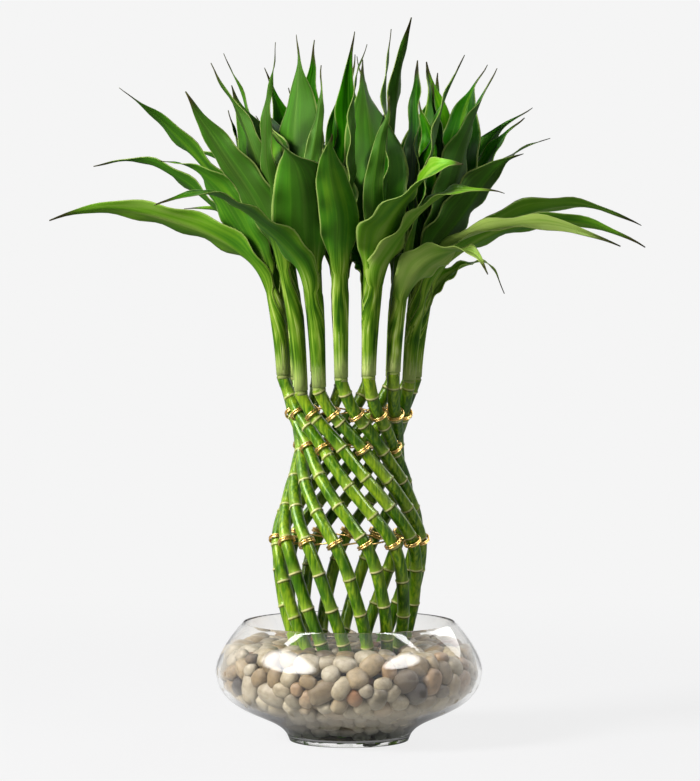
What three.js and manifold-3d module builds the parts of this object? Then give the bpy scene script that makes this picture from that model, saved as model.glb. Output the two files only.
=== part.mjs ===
// Lucky bamboo in a glass bowl: a ring of canes woven into a waisted lattice, tied with wire,
// with a leafy shoot on each cane, standing in river pebbles.
// Millimetres and degrees, +Z up, front at -Y, origin at the centre of the bowl's flat underside.
import * as THREE from "three";
import { mergeVertices } from "three/addons/utils/BufferGeometryUtils.js";
import Module from "manifold-3d";

const wasm = await Module();
wasm.setup();

// Driving dimensions
const GAP = 0.3;
// A blade is flat and coarse, so the copy of it that cuts its neighbour stands off by this many gaps
const STAND_OFF = 2;
const CANES = 15;
const BOWL = {
  foot: 48, belt: 107, beltHeight: 55, mouth: 85, height: 95, wall: 2.8, floor: 4, seatWidth: 5, sides: 28,
};
// Where the lower wall heads for: up off the foot, then along under the belt
const LOWER_WALL_GUIDES = [[52, 24], [104, 18]];
const CANE = {
  radius: 4.9, ringRadius: 5.6, ringLength: 2.6, jointPitch: 30, firstAngle: -77.7, stub: 2.5, sides: 6,
};
const PEBBLE = {
  perRow: 18, wallRows: 3, bulge: 6.8, clear: 1.4, top: 72, proud: 4, wallTop: 57, sway: 3, holeGap: 1.1,
};
const STEM = {
  foot: 286, footSpread: 16, top: 390, topRing: 65, lean: 3, bendAt: 0.55,
  baseRadius: 5.3, topRadius: 8.4, endRadius: 3, sides: 6,
};
const LEAF = {
  thickness: 1.3, rootThickness: 3, sheath: 5.4, tipHalf: 0.7, fold: 17, wave: 1.6, waveRate: 13,
  waveShift: 1.6, baseTaper: 0.8, tipTaper: 1.2, segments: 6, perShoot: 6,
};
const WIRE = { radius: 0.7, turnDrop: 2.8, turnSteps: 7, sides: 3 };

// The lattice, from the glass floor up past the cut cane tops: height, ring radius, turn round the axis
const LATTICE = [
  [BOWL.floor + GAP, 33.5, 167],
  [62, 40.5, 150],
  [114, 52.5, 133],
  [161, 57.5, 115],
  [200, 47.5, 84],
  [236, 39, 46],
  [267, 45.5, 10],
  [300, 56, -4],
  [335, 62, -12],
];
const TIES = { upper: 263, waist: 236, lower: 162 };
const PEBBLE_ROWS_OVER = [77, 54];
const HOLE_HEIGHTS = [6, 34, 62, 90];
const HOLE_FOOT = 2;
const STEM_STATIONS = [0, 0.12, 0.6, 0.9, 1];

// Leaves as seen from the front, by shoot: tip x, y, z, width, arch, roll
const SEEN = [
  [[-238, -20, 422, 24, 34, 38], [-150, 10, 470, 26, 20, 30]],
  [[-127, -50, 522, 28, 0, 15], [-88, -20, 522, 48, 4, 10], [-98, 30, 545, 16, 0, 0]],
  [[-36, -20, 563, 48, 0, 0], [-49, -88, 484, 48, 8, 0], [-142, -110, 437, 26, 30, -10],
    [-62, -44, 516, 44, 4, 0]],
  [[-33, -75, 506, 42, 4, 0], [-12, -90, 484, 26, 8, 0]],
  [[10, -40, 542, 50, 0, 0], [83, -90, 463, 46, 26, 20], [112, -105, 436, 25, 46, 20]],
  [[50, -10, 548, 32, 0, 0], [112, -95, 376, 28, 46, -20], [214, -45, 404, 20, 34, 25]],
  [[116, -25, 538, 34, 0, -10], [137, -30, 471, 38, 16, -20], [239, -15, 404, 22, 40, -25]],
  [[108, 10, 553, 40, 0, -5], [142, 5, 506, 22, 6, -20], [240, 20, 418, 27, 40, -30],
    [130, 0, 365, 12, 46, 0]],
  [[69, 20, 551, 32, 0, 0], [146, 60, 520, 18, 4, -15], [165, 40, 493, 18, 16, -15]],
  [[73, 50, 544, 32, 0, 0]],
  [[4, 50, 557, 30, 0, 0], [42, 30, 578, 28, 12, 0]],
  [[-4, 20, 567, 30, 0, 0], [14, 60, 559, 28, 0, 0]],
  [[-55, 50, 542, 32, 0, 0], [-34, 10, 564, 32, 0, 0]],
  [[-90, 40, 556, 26, 0, 10], [-110, 60, 434, 20, 26, 0]],
  [[-180, 20, 529, 27, 4, 30], [-206, 30, 474, 22, 28, 30]],
];

// How a leaf leaves its stem: the share of the stem's height it springs from, lying and upright,
// its distance out from the stem's middle, and how it lifts and bows before it heads for its tip
const SPRING = {
  lying: 0.62, upright: 0.98, lowest: 0.55, highest: 0.95, out: 3, outward: 12,
  lift: 0.28, archedLift: 0.2, fullArch: 46, bow: 10, bendAt: 0.55, facing: 60,
};

// Leaves that the front view hides, spread by rule: climb of each slot, and the span of each draw
const RULED = {
  inwardClimb: [60, 60, 60, 66, 74, 82],
  outwardClimb: [14, 24, 36, 50, 66, 80],
  spread: [28, 62],
  length: [124, 168],
  width: [25, 34],
  roll: [-12, 12],
  arch: 26,
  narrow: 0.6,
  springAt: 0.85,
  frontShare: 0.2,
};

// The lies that a leaf tries: steps to either side, then for each further round a roll or, for a
// ruled leaf, a length and a lift
const TRIES = { steps: 17, shift: 7, turn: 9, pivotAt: 0.8 };
const SEEN_ROUNDS = [0, 12, -12];
const RULED_ROUNDS = [[1, 0], [1, 18], [1, -18], [0.82, 0], [0.82, 24], [0.7, 8], [0.95, -34], [0.6, 14]];
const MOST_CLASHES = { others: 10, own: 22 };
const SAMPLE = { along: 48, first: 6, across: 4, ownFrom: 0.4 };
const CELL = { size: 3.4, span: 1000 };

const COLOURS = {
  glass: 0xdfe8e6,
  pebble: 0xb9a88c,
  cane: 0x4f8f22,
  wire: 0x9b6f2a,
  leaf: 0x2f7a1c,
};

const UP = new THREE.Vector3(0, 0, 1);
const radians = THREE.MathUtils.degToRad;
const lerp = THREE.MathUtils.lerp;
const vec = (x, y, z) => new THREE.Vector3(x, y, z);

// A repeatable draw between 0 and 1 for the pair (a, b)
function draw(a, b) {
  const v = Math.sin(a * 12.9898 + b * 78.233) * 43758.5453;
  return v - Math.floor(v);
}

const drawIn = ([low, high], a, b) => lerp(low, high, draw(a, b));

// Solids and their joins
function solidOf(geometry) {
  const bare = new THREE.BufferGeometry();
  bare.setAttribute("position", geometry.getAttribute("position"));
  bare.setIndex(geometry.getIndex());
  const merged = mergeVertices(bare, 1e-4);
  return new wasm.Manifold(
    new wasm.Mesh({
      numProp: 3,
      vertProperties: merged.attributes.position.array,
      triVerts: new Uint32Array(merged.index.array),
    }),
  );
}

function geometryOf(solid) {
  const mesh = solid.getMesh();
  const geometry = new THREE.BufferGeometry();
  geometry.setAttribute("position", new THREE.BufferAttribute(mesh.vertProperties, 3));
  geometry.setIndex(new THREE.BufferAttribute(mesh.triVerts, 1));
  geometry.computeVertexNormals();
  return geometry;
}

function join(geometries) {
  return wasm.Manifold.union(geometries.map(solidOf));
}

// The main body alone: without loose scraps, and with any hollow that a join has sealed filled
function mainBody(solid) {
  return solid.decompose().reduce((a, b) => (b.volume() > a.volume() ? b : a));
}

// A closed skin over rings of equal size. With alike set, each quad's diagonal starts from the
// even corner, so that the two faces of a blade are split the same way.
function skin(rings, { alike = false, endless = false } = {}) {
  const size = rings[0].length;
  const last = rings.length - 1;
  const index = [];
  for (let r = 0; r < (endless ? last + 1 : last); r++) {
    const above = ((r + 1) % rings.length) * size;
    for (let i = 0; i < size; i++) {
      const a = r * size + i;
      const b = r * size + ((i + 1) % size);
      const c = above + i;
      const d = above + ((i + 1) % size);
      if (alike && i % 2) index.push(a, b, c, b, d, c);
      else index.push(a, b, d, a, d, c);
    }
  }
  for (const [row, flip] of endless ? [] : [[0, true], [last, false]]) {
    for (let i = 1; i < size - 1; i++) {
      const fan = [row * size, row * size + i, row * size + i + 1];
      index.push(...(flip ? fan.reverse() : fan));
    }
  }
  const geometry = new THREE.BufferGeometry().setFromPoints(rings.flat());
  geometry.setIndex(index);
  return geometry;
}

// The corners of a ring of equal steps in the plane of two directions
function ringOf(centre, across, other, radius, sides) {
  return Array.from({ length: sides }, (_, i) => {
    const a = (2 * Math.PI * i) / sides;
    return centre.clone()
      .addScaledVector(across, radius * Math.cos(a))
      .addScaledVector(other, radius * Math.sin(a));
  });
}

// A round ring of a tube, square to its run
function ringAt(centre, along, radius, sides) {
  const across = new THREE.Vector3().crossVectors(UP, along).normalize();
  const other = new THREE.Vector3().crossVectors(along, across).normalize();
  return ringOf(centre, across, other, radius, sides);
}

const onRing = (radius, angle, height) =>
  vec(radius * Math.sin(radians(angle)), -radius * Math.cos(radians(angle)), height);

// Bowl: two curves give the outer wall, and its inner wall lies one glass thickness inside them
const beltPoint = new THREE.Vector2(BOWL.belt, BOWL.beltHeight);
const lowerWall = new THREE.CubicBezierCurve(
  new THREE.Vector2(BOWL.foot, 0),
  ...LOWER_WALL_GUIDES.map(([radius, height]) => new THREE.Vector2(radius, height)),
  beltPoint,
);
const upperWall = new THREE.QuadraticBezierCurve(
  beltPoint,
  new THREE.Vector2(BOWL.belt, 1.28 * BOWL.beltHeight),
  new THREE.Vector2(BOWL.mouth, BOWL.height),
);

function wallOutline(inset, steps) {
  const outline = [];
  for (const curve of [lowerWall, upperWall]) {
    for (let i = outline.length ? 1 : 0; i <= steps; i++) {
      const p = curve.getPoint(i / steps);
      const t = curve.getTangent(i / steps);
      outline.push(new THREE.Vector2(p.x - inset * t.y, p.y + inset * t.x));
    }
  }
  return outline;
}

function glassBowl() {
  const steps = 5;
  const outside = wallOutline(0, steps);
  const inside = wallOutline(BOWL.wall, steps).filter((p) => p.y > BOWL.floor + 1);
  const lip = outside.at(-1).clone().lerp(inside.at(-1), 0.5);
  lip.y += 0.5 * BOWL.wall;
  const seat = new THREE.Vector2(inside[0].x - BOWL.seatWidth, BOWL.floor);
  const centre = (z) => new THREE.Vector2(0, z);
  const outline = [centre(0), ...outside, lip, ...inside.reverse(), seat, centre(BOWL.floor)];
  return new THREE.LatheGeometry(outline, BOWL.sides).rotateX(Math.PI / 2);
}

// Canes
const weave = new THREE.CatmullRomCurve3(
  LATTICE.map(([height, radius, turn]) => vec(radius, turn, height)),
  false,
  "catmullrom",
  0.5,
);

const canePhase = (k) => CANE.firstAngle + (360 * k) / CANES;

function paramAtHeight(height) {
  let low = 0;
  let high = 1;
  for (let i = 0; i < 40; i++) {
    const mid = (low + high) / 2;
    if (weave.getPoint(mid).z < height) low = mid;
    else high = mid;
  }
  return low;
}

// A shoot springs from each cane near its cut top, not all at one height
const shootFoot = (k) => STEM.foot + STEM.footSpread * (draw(k, 11) - 0.5);

class CanePath extends THREE.Curve {
  constructor(k) {
    super();
    this.k = k;
    this.end = paramAtHeight(shootFoot(k) + CANE.stub);
  }
  getPoint(t) {
    const w = weave.getPoint(t * this.end);
    return onRing(w.x, canePhase(this.k) + w.y, w.z);
  }
  atHeight(height) {
    const t = paramAtHeight(height) / this.end;
    return { at: this.getPoint(t), along: this.getTangent(t) };
  }
}

const canePaths = Array.from({ length: CANES }, (_, k) => new CanePath(k));

// Each length between joints swells to its ring, and the joints of neighbours don't line up
function cane(k, grow = 0) {
  const path = canePaths[k];
  const length = path.getLength();
  const stations = [[0, CANE.radius]];
  const firstJoint = CANE.jointPitch * drawIn([0.35, 0.85], k, 1);
  for (let s = firstJoint; s < length - CANE.stub; s += CANE.jointPitch) {
    stations.push([s - CANE.ringLength, CANE.radius], [s, CANE.ringRadius]);
  }
  stations.push([length, CANE.radius]);
  const rings = stations.map(([s, radius]) =>
    ringAt(path.getPointAt(s / length), path.getTangentAt(s / length), radius + grow, CANE.sides));
  for (const p of rings[0]) p.z = LATTICE[0][0] - grow;
  return skin(rings);
}

// Pebbles: how far a cobble can bulge from its middle before it meets the glass or the pile's level
const pileLimit = wallOutline(BOWL.wall + PEBBLE.clear, 20);

function roomOut(middle) {
  const radius = Math.hypot(middle.x, middle.y);
  const gaps = pileLimit.map((p) => Math.hypot(p.x - radius, p.y - middle.z));
  return Math.min(PEBBLE.top + PEBBLE.proud - middle.z, ...gaps);
}

// Each pebble is a cobble raised from a six-sided cell of the pile's skin
function cobble(corners, outward, seed, faces) {
  const middle = corners.reduce((sum, p) => sum.add(p), vec(0, 0, 0)).divideScalar(corners.length);
  const bulge = roomOut(middle) * drawIn([0.9, 1], seed, 1);
  const inset = drawIn([0.52, 0.68], seed, 2);
  const crown = middle.clone().addScaledVector(outward, bulge);
  const shoulder = corners.map((p) =>
    middle.clone().lerp(p, inset).addScaledVector(outward, 0.82 * bulge));
  corners.forEach((p, i) => {
    const next = (i + 1) % corners.length;
    faces.push([p, corners[next], shoulder[next]], [p, shoulder[next], shoulder[i]]);
    faces.push([shoulder[i], shoulder[next], crown]);
  });
}

// Rows run from the glass floor up its wall and over the top, each half a pebble round from the last
function pebbleBed() {
  const bottom = BOWL.floor + GAP;
  const rise = wallOutline(BOWL.wall + PEBBLE.clear + PEBBLE.bulge, 8)
    .filter((p) => p.y > bottom + 3 && p.y < PEBBLE.wallTop);
  const over = PEBBLE_ROWS_OVER.map((r) => new THREE.Vector2(r, PEBBLE.top - PEBBLE.bulge));
  const rows = [...new THREE.SplineCurve(rise).getSpacedPoints(PEBBLE.wallRows), ...over];
  const corners = 2 * PEBBLE.perRow;
  const rings = rows.map((row, r) => Array.from({ length: corners }, (_, i) => {
    const sway = r ? PEBBLE.sway * (draw(r, i + 90) - 0.5) : 0;
    return onRing(row.x, (360 * i) / corners + sway, row.y);
  }));
  const faces = [];
  for (let r = 0; r + 1 < rows.length; r++) {
    const slope = rows[r + 1].clone().sub(rows[r]).normalize();
    for (let c = 0; c < PEBBLE.perRow; c++) {
      const first = 2 * c + (r % 2);
      const low = [0, 1, 2].map((i) => rings[r][(first + i) % corners]);
      const high = [2, 1, 0].map((i) => rings[r + 1][(first + i) % corners]);
      const outward = onRing(slope.y, (360 * (first + 1)) / corners, -slope.x);
      cobble([...low, ...high], outward, 31 * r + c, faces);
    }
  }
  // Where the canes stand close together the pile is level, and its middle is hidden by them
  const crown = PEBBLE.top - 2;
  rings.at(-1).forEach((p, i, top) => {
    const next = top[(i + 1) % corners];
    const inner = vec(0.55 * p.x, 0.55 * p.y, crown);
    const innerNext = vec(0.55 * next.x, 0.55 * next.y, crown);
    faces.push([p, next, innerNext], [p, innerNext, inner], [inner, innerNext, vec(0, 0, crown)]);
  });
  rings[0].forEach((p, i, lowest) => {
    const next = lowest[(i + 1) % corners];
    const below = vec(0.9 * p.x, 0.9 * p.y, bottom);
    const belowNext = vec(0.9 * next.x, 0.9 * next.y, bottom);
    faces.push([next, p, below], [next, below, belowNext], [belowNext, below, vec(0, 0, bottom)]);
  });
  const pile = new THREE.BufferGeometry().setFromPoints(faces.flat());
  pile.setIndex([...Array(3 * faces.length).keys()]);
  return solidOf(pile).subtract(join(canePaths.map(caneHole)));
}

function caneHole(path) {
  const rings = HOLE_HEIGHTS.map((height) => {
    const { at, along } = path.atHeight(height);
    return ringAt(at, along, CANE.ringRadius + PEBBLE.holeGap, CANE.sides);
  });
  for (const p of rings[0]) p.z = HOLE_FOOT;
  return skin(rings);
}

// Tie wire: one wire runs round inside the ring of canes and takes a turn round each that it ties
function tieWire(height, every) {
  const steps = WIRE.turnSteps;
  const loopRadius = (CANE.ringRadius + GAP + WIRE.radius) / Math.cos(Math.PI / steps);
  const route = [];
  for (let k = 0; k < CANES; k += every) {
    const { at, along } = canePaths[k].atHeight(height);
    const inward = vec(-at.x, -at.y, 0);
    inward.addScaledVector(along, -inward.dot(along)).normalize();
    const other = new THREE.Vector3().crossVectors(inward, along);
    for (let i = 0; i <= steps; i++) {
      const turn = (2 * Math.PI * i) / steps;
      const out = inward.clone().multiplyScalar(Math.cos(turn)).addScaledVector(other, Math.sin(turn));
      const point = at.clone().addScaledVector(out, loopRadius);
      point.addScaledVector(along, WIRE.turnDrop * (0.5 - i / steps));
      route.push({ point, out });
    }
  }
  const rings = route.map(({ point, out }, i) => {
    const along = route[(i + 1) % route.length].point.clone().sub(route.at(i - 1).point).normalize();
    const other = new THREE.Vector3().crossVectors(along, out).normalize();
    return ringOf(point, out, other, WIRE.radius, WIRE.sides);
  });
  return skin(rings, { endless: true });
}

// Shoots: a stem that leans out from its cane's top, and leaves that clasp it before they part
function stemPath(k) {
  const foot = shootFoot(k);
  const { x: radius, y: turn } = weave.getPoint(paramAtHeight(foot));
  const angle = canePhase(k) + turn;
  return new THREE.QuadraticBezierCurve3(
    onRing(radius, angle, foot),
    onRing(radius + STEM.lean, angle, lerp(foot, STEM.top, STEM.bendAt)),
    onRing(STEM.topRing, angle, STEM.top),
  );
}

const stemPaths = canePaths.map((_, k) => stemPath(k));

function stemSolid(k, grow = 0) {
  const path = stemPaths[k];
  const rings = STEM_STATIONS.map((t) => {
    const radius = t === 1 ? STEM.endRadius : lerp(STEM.baseRadius, STEM.topRadius, t ** 2);
    return ringAt(path.getPoint(t), path.getTangent(t), radius + grow, STEM.sides);
  });
  for (const p of rings.at(-1)) p.z += grow;
  return skin(rings);
}

// A leaf: its middle line from root to tip, and its width, roll and wave
function makeLeaf(k, slot, tip, width, arch, roll, facing = 0) {
  const stem = stemPaths[k];
  const reach = tip.clone().sub(stem.getPoint(1));
  const climb = Math.atan2(reach.z, Math.hypot(reach.x, reach.y)) / (Math.PI / 2);
  const springAt = lerp(SPRING.lying, SPRING.upright, climb);
  const rootAt = THREE.MathUtils.clamp(springAt, SPRING.lowest, SPRING.highest);
  const root = stem.getPoint(rootAt);
  const away = vec(tip.x - root.x, tip.y - root.y, 0);
  away.add(onRing(SPRING.outward, canePhase(k), 0));
  away.y -= facing * Math.sign(Math.cos(radians(canePhase(k))));
  away.normalize();
  root.addScaledVector(away, SPRING.out);
  const lift = lerp(SPRING.lift, SPRING.archedLift, arch / SPRING.fullArch) * root.distanceTo(tip);
  const second = root.clone().addScaledVector(stem.getTangent(rootAt), lift);
  second.addScaledVector(away, SPRING.bow);
  const third = second.clone().lerp(tip, SPRING.bendAt).addScaledVector(UP, arch);
  const path = new THREE.CubicBezierCurve3(root, second, third, tip);
  const side = new THREE.Vector3().crossVectors(UP, away);
  return { path, side, width, roll: radians(roll), phase: 6.28 * draw(k, slot + 20) };
}

// The front view doesn't show how the remaining leaves lie, so a rule spreads them round their shoot
function ruledLeaf(k, slot) {
  const angle = canePhase(k);
  const inward = Math.cos(radians(angle)) > RULED.frontShare;
  const spread = (slot % 2 ? 1 : -1) * drawIn(RULED.spread, k, slot + 40);
  const heading = (inward ? angle + 180 : angle) + spread;
  const climb = (inward ? RULED.inwardClimb : RULED.outwardClimb)[slot];
  const length = drawIn(RULED.length, k, slot + 60);
  const tip = onRing(length * Math.cos(radians(climb)), heading, length * Math.sin(radians(climb)));
  tip.x *= RULED.narrow;
  tip.add(stemPaths[k].getPoint(RULED.springAt));
  const arch = inward ? 0 : RULED.arch * (1 - climb / 90);
  return [tip, drawIn(RULED.width, k, slot + 70), arch, drawIn(RULED.roll, k, slot + 80)];
}

// The blade's width along its length, 1 at its widest
const widestAt = LEAF.baseTaper / (LEAF.baseTaper + LEAF.tipTaper);
const taper = (t) => t ** LEAF.baseTaper * (1 - t) ** LEAF.tipTaper;
const blade = (t) => taper(t) / taper(widestAt);

// A point of the leaf, t along it and u across it, and the direction that its upper face looks
function leafPoint(leaf, t, u, grow = 0) {
  const at = leaf.path.getPoint(t);
  const along = leaf.path.getTangent(t);
  const side = leaf.side.clone().addScaledVector(along, -leaf.side.dot(along)).normalize();
  const face = new THREE.Vector3().crossVectors(along, side);
  const turn = leaf.roll * THREE.MathUtils.smoothstep(t, 0.1, 0.5);
  const across = side.clone().multiplyScalar(Math.cos(turn)).addScaledVector(face, Math.sin(turn));
  face.multiplyScalar(Math.cos(turn)).addScaledVector(side, -Math.sin(turn));
  const half = LEAF.sheath * (1 - t) ** 2 + 0.5 * leaf.width * blade(t) + LEAF.tipHalf * t + STAND_OFF * grow;
  const swing = leaf.phase + LEAF.waveRate * t + (u > 0 ? LEAF.waveShift : 0);
  const ripple = LEAF.wave * blade(t) * Math.sin(swing);
  const rise = Math.abs(u) * (half * Math.tan(radians(LEAF.fold)) + ripple);
  at.addScaledVector(across, u * half).addScaledVector(face, rise);
  return { at, face };
}

function leafSolid({ leaf, segments }, grow = 0) {
  const rings = Array.from({ length: segments + 1 }, (_, i) => {
    const t = i / segments;
    const { at, face } = leafPoint(leaf, t, 0);
    const thick = lerp(LEAF.rootThickness, LEAF.thickness, Math.min(1, t * 3)) + 2 * STAND_OFF * grow;
    const upper = at.clone().addScaledVector(face, thick / 2);
    const lower = at.clone().addScaledVector(face, -thick / 2);
    return [leafPoint(leaf, t, -1, grow).at, lower, leafPoint(leaf, t, 1, grow).at, upper];
  });
  return skin(rings, { alike: true });
}

// Cells of space that are already taken, each with the shoot that took it first
const taken = new Map();
const cellOf = (p) => {
  const [x, y, z] = [p.x, p.y, p.z].map((value) => Math.round(value / CELL.size));
  return (x * CELL.span + y) * CELL.span + z;
};

function take(points, k) {
  const near = [-1, 0, 1];
  const columns = near.flatMap((x) => near.map((y) => x * CELL.span + y));
  const offsets = columns.flatMap((column) => near.map((z) => column * CELL.span + z));
  for (const point of points) {
    for (const offset of offsets) {
      const cell = cellOf(point) + offset;
      if (!taken.has(cell)) taken.set(cell, k);
    }
  }
}

function samples(leaf) {
  const points = [];
  for (let i = SAMPLE.first; i <= SAMPLE.along; i++) {
    for (let j = -SAMPLE.across; j <= SAMPLE.across; j++) {
      const t = i / SAMPLE.along;
      points.push({ at: leafPoint(leaf, t, j / SAMPLE.across).at, t });
    }
  }
  return points;
}

function clashes(points, k) {
  const owners = points.map(({ at, t }) => ({ owner: taken.get(cellOf(at)), t }));
  const others = owners.filter(({ owner }) => owner !== undefined && owner !== k).length;
  const own = owners.filter(({ owner, t }) => owner === k && t > SAMPLE.ownFrom).length;
  return { others, own, cost: 5 * others + own };
}

// Each leaf takes the first lie that keeps clear of what is there, or else the clearest
function settle(k, slot, [tip, width, arch, roll], ruled) {
  const pivot = stemPaths[k].getPoint(TRIES.pivotAt);
  let best;
  for (const round of ruled ? RULED_ROUNDS : SEEN_ROUNDS) {
    for (let i = 0; i < TRIES.steps; i++) {
      const step = Math.ceil(i / 2) * (i % 2 ? 1 : -1);
      const moved = tip.clone();
      let leaf;
      if (ruled) {
        const [scale, lift] = round;
        moved.sub(pivot).applyAxisAngle(UP, radians(TRIES.turn * step)).multiplyScalar(scale);
        moved.add(pivot).addScaledVector(UP, lift);
        leaf = makeLeaf(k, slot, moved, width, arch, roll);
      } else {
        moved.y += TRIES.shift * step;
        leaf = makeLeaf(k, slot, moved, width, arch, roll + round, SPRING.facing);
      }
      const points = samples(leaf);
      const found = clashes(points, k);
      if (!best || found.cost < best.cost) best = { ...found, leaf, points };
      if (!best.cost) break;
    }
    if (!best.cost) break;
  }
  if (ruled && (best.others > MOST_CLASHES.others || best.own > MOST_CLASHES.own)) return [];
  take(best.points.map(({ at }) => at), k);
  return [{ leaf: best.leaf, segments: ruled ? LEAF.segments - 2 : LEAF.segments }];
}

// The seen leaves settle first, from each shoot in turn, and then the ruled ones
function placeLeaves() {
  stemPaths.forEach((stem, k) => take(stem.getPoints(40), k));
  const leaves = canePaths.map(() => []);
  for (let slot = 0; slot < LEAF.perShoot; slot++) {
    for (let k = 0; k < CANES; k++) {
      if (slot >= SEEN[k].length) continue;
      const [x, y, z, ...lie] = SEEN[k][slot];
      leaves[k].push(...settle(k, slot, [vec(x, y, z), ...lie], false));
    }
  }
  for (let slot = 1; slot < LEAF.perShoot; slot++) {
    for (let k = 0; k < CANES; k++) {
      if (slot >= SEEN[k].length) leaves[k].push(...settle(k, slot, ruledLeaf(k, slot), true));
    }
  }
  return leaves;
}

// The object
const plant = new THREE.Group();

function add(name, geometry, color, roughness, metalness = 0) {
  const mesh = new THREE.Mesh(geometry, new THREE.MeshStandardMaterial({ color, roughness, metalness }));
  mesh.name = name;
  plant.add(mesh);
  return mesh;
}

const label = (k) => String(k + 1).padStart(2, "0");
const bowl = add("glass_bowl", glassBowl(), COLOURS.glass, 0.03);
bowl.material.transparent = true;
bowl.material.opacity = 0.3;
add("pebbles", geometryOf(pebbleBed()), COLOURS.pebble, 0.6);
canePaths.forEach((_, k) => add(`cane_${label(k)}`, cane(k), COLOURS.cane, 0.35));
add("lower_tie_wire", tieWire(TIES.lower, 1), COLOURS.wire, 0.35, 1);
add("waist_tie_wire", tieWire(TIES.waist, 2), COLOURS.wire, 0.35, 1);
add("upper_tie_wire", tieWire(TIES.upper, 1), COLOURS.wire, 0.35, 1);
// A shoot sits over its cane's top. Its leaves are cut back from the stems on either side, and from
// the leaves of the next shoot round.
const placed = placeLeaves();
placed.forEach((leaves, k) => {
  const next = (k + 1) % CANES;
  const last = (k + CANES - 1) % CANES;
  const clear = [cane(k, GAP), stemSolid(next, GAP), stemSolid(last, GAP)];
  clear.push(...placed[next].map((leaf) => leafSolid(leaf, GAP)));
  const shoot = join([stemSolid(k), ...leaves.map((leaf) => leafSolid(leaf))]).subtract(join(clear));
  add(`shoot_${label(k)}`, geometryOf(mainBody(shoot)), COLOURS.leaf, 0.4);
});

export default plant;
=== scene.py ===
# %% [markdown]
# Lucky bamboo in a glass bowl.
#
# A ring of living canes is woven into an open lattice, tied with brass wire where they cross, and
# grows a head of pointed leaves. It stands in river pebbles in a clear glass bowl. This notebook
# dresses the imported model, which gives the size and place of every piece. Lengths are worked out in
# millimetres, as in the model's own source, and become metres when a mesh is made.

# %%
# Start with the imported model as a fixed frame
import math

import bpy
import numpy as np
from mathutils import Matrix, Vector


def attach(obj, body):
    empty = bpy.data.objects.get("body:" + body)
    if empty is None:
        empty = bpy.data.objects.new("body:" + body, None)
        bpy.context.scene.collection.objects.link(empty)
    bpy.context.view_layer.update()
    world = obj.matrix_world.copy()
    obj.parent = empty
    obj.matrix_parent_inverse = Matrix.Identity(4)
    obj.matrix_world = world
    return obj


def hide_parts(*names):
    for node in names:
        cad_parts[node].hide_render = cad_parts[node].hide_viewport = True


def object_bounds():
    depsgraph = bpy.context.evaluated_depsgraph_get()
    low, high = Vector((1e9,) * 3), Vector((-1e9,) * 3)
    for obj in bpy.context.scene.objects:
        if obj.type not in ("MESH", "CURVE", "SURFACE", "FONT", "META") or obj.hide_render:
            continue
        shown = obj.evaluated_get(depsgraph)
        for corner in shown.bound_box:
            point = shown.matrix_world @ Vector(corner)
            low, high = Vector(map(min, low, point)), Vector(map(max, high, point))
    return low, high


MM = 0.001
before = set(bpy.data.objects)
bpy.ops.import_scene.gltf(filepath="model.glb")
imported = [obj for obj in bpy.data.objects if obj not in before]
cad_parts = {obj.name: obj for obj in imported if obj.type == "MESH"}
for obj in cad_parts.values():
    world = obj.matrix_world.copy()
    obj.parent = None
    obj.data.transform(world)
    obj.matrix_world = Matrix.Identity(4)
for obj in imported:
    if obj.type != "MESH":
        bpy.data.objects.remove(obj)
cad_box = [[float(v) for v in corner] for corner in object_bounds()]
print("CAD box in metres:", cad_box)

# %% [markdown]
# The camera stands where the photographer stood: level with the middle of the lattice, 2.6 m away,
# turned down by about two degrees. At that distance a pixel of the picture is 0.8 mm on the plant.

# %%
# Camera
PICTURE = {"height": 781, "pixel": 0.8, "distance": 2600, "aside": 0.8, "eye": 376, "tilt": 2.1}


def put(name, data):
    body = bpy.data.objects.new(name, data)
    bpy.context.scene.collection.objects.link(body)
    return body


lens = bpy.data.cameras.new("camera")
lens.sensor_width = 36
lens.lens = lens.sensor_width * PICTURE["distance"] / (PICTURE["height"] * PICTURE["pixel"])
camera = put("camera", lens)
camera.location = (PICTURE["aside"] * MM, -PICTURE["distance"] * MM, PICTURE["eye"] * MM)
camera.rotation_euler = (math.radians(90 - PICTURE["tilt"]), 0, 0)
bpy.context.scene.camera = camera
print("lens", round(lens.lens, 1), "mm")

# %% [markdown]
# Materials and Geometry Nodes trees are both networks of nodes. Written out one by one they are hard
# to follow, so two small classes make them read like arithmetic: a Value is an output that can be
# added, multiplied and so on, and a Nodes object makes any other node from its type, its settings
# and what goes into its sockets.


# %%
# Node helpers
def operator(operation, reflected=False):
    """A method that adds a Math node. The reflected form is for 1 - mask, where the number comes first."""
    def method(self, other):
        terms = (other, self) if reflected else (self, other)
        return self.nodes.maths(operation, *terms)
    return method


class Value:
    """An output of a node. Arithmetic on it adds Math nodes."""

    __add__ = operator("ADD")
    __radd__ = operator("ADD", True)
    __sub__ = operator("SUBTRACT")
    __rsub__ = operator("SUBTRACT", True)
    __mul__ = operator("MULTIPLY")
    __rmul__ = operator("MULTIPLY", True)
    __truediv__ = operator("DIVIDE")
    __rtruediv__ = operator("DIVIDE", True)
    __pow__ = operator("POWER")
    __rpow__ = operator("POWER", True)

    def __init__(self, nodes, socket):
        self.nodes = nodes
        self.socket = socket

    def math(self, operation, *others):
        return self.nodes.maths(operation, self, *others)

    def fraction(self):
        return self.math("FRACT")

    def size(self):
        return self.math("ABSOLUTE")

    def above(self, limit):
        return self.math("GREATER_THAN", limit)

    def ramp(self, low, high, start=0.0, stop=1.0):
        """Goes smoothly from start to stop as this value goes from low to high."""
        sockets = {0: self, 1: low, 2: high, 3: start, 4: stop}
        return self.nodes.get("ShaderNodeMapRange", sockets, {"interpolation_type": "SMOOTHSTEP"})


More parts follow.
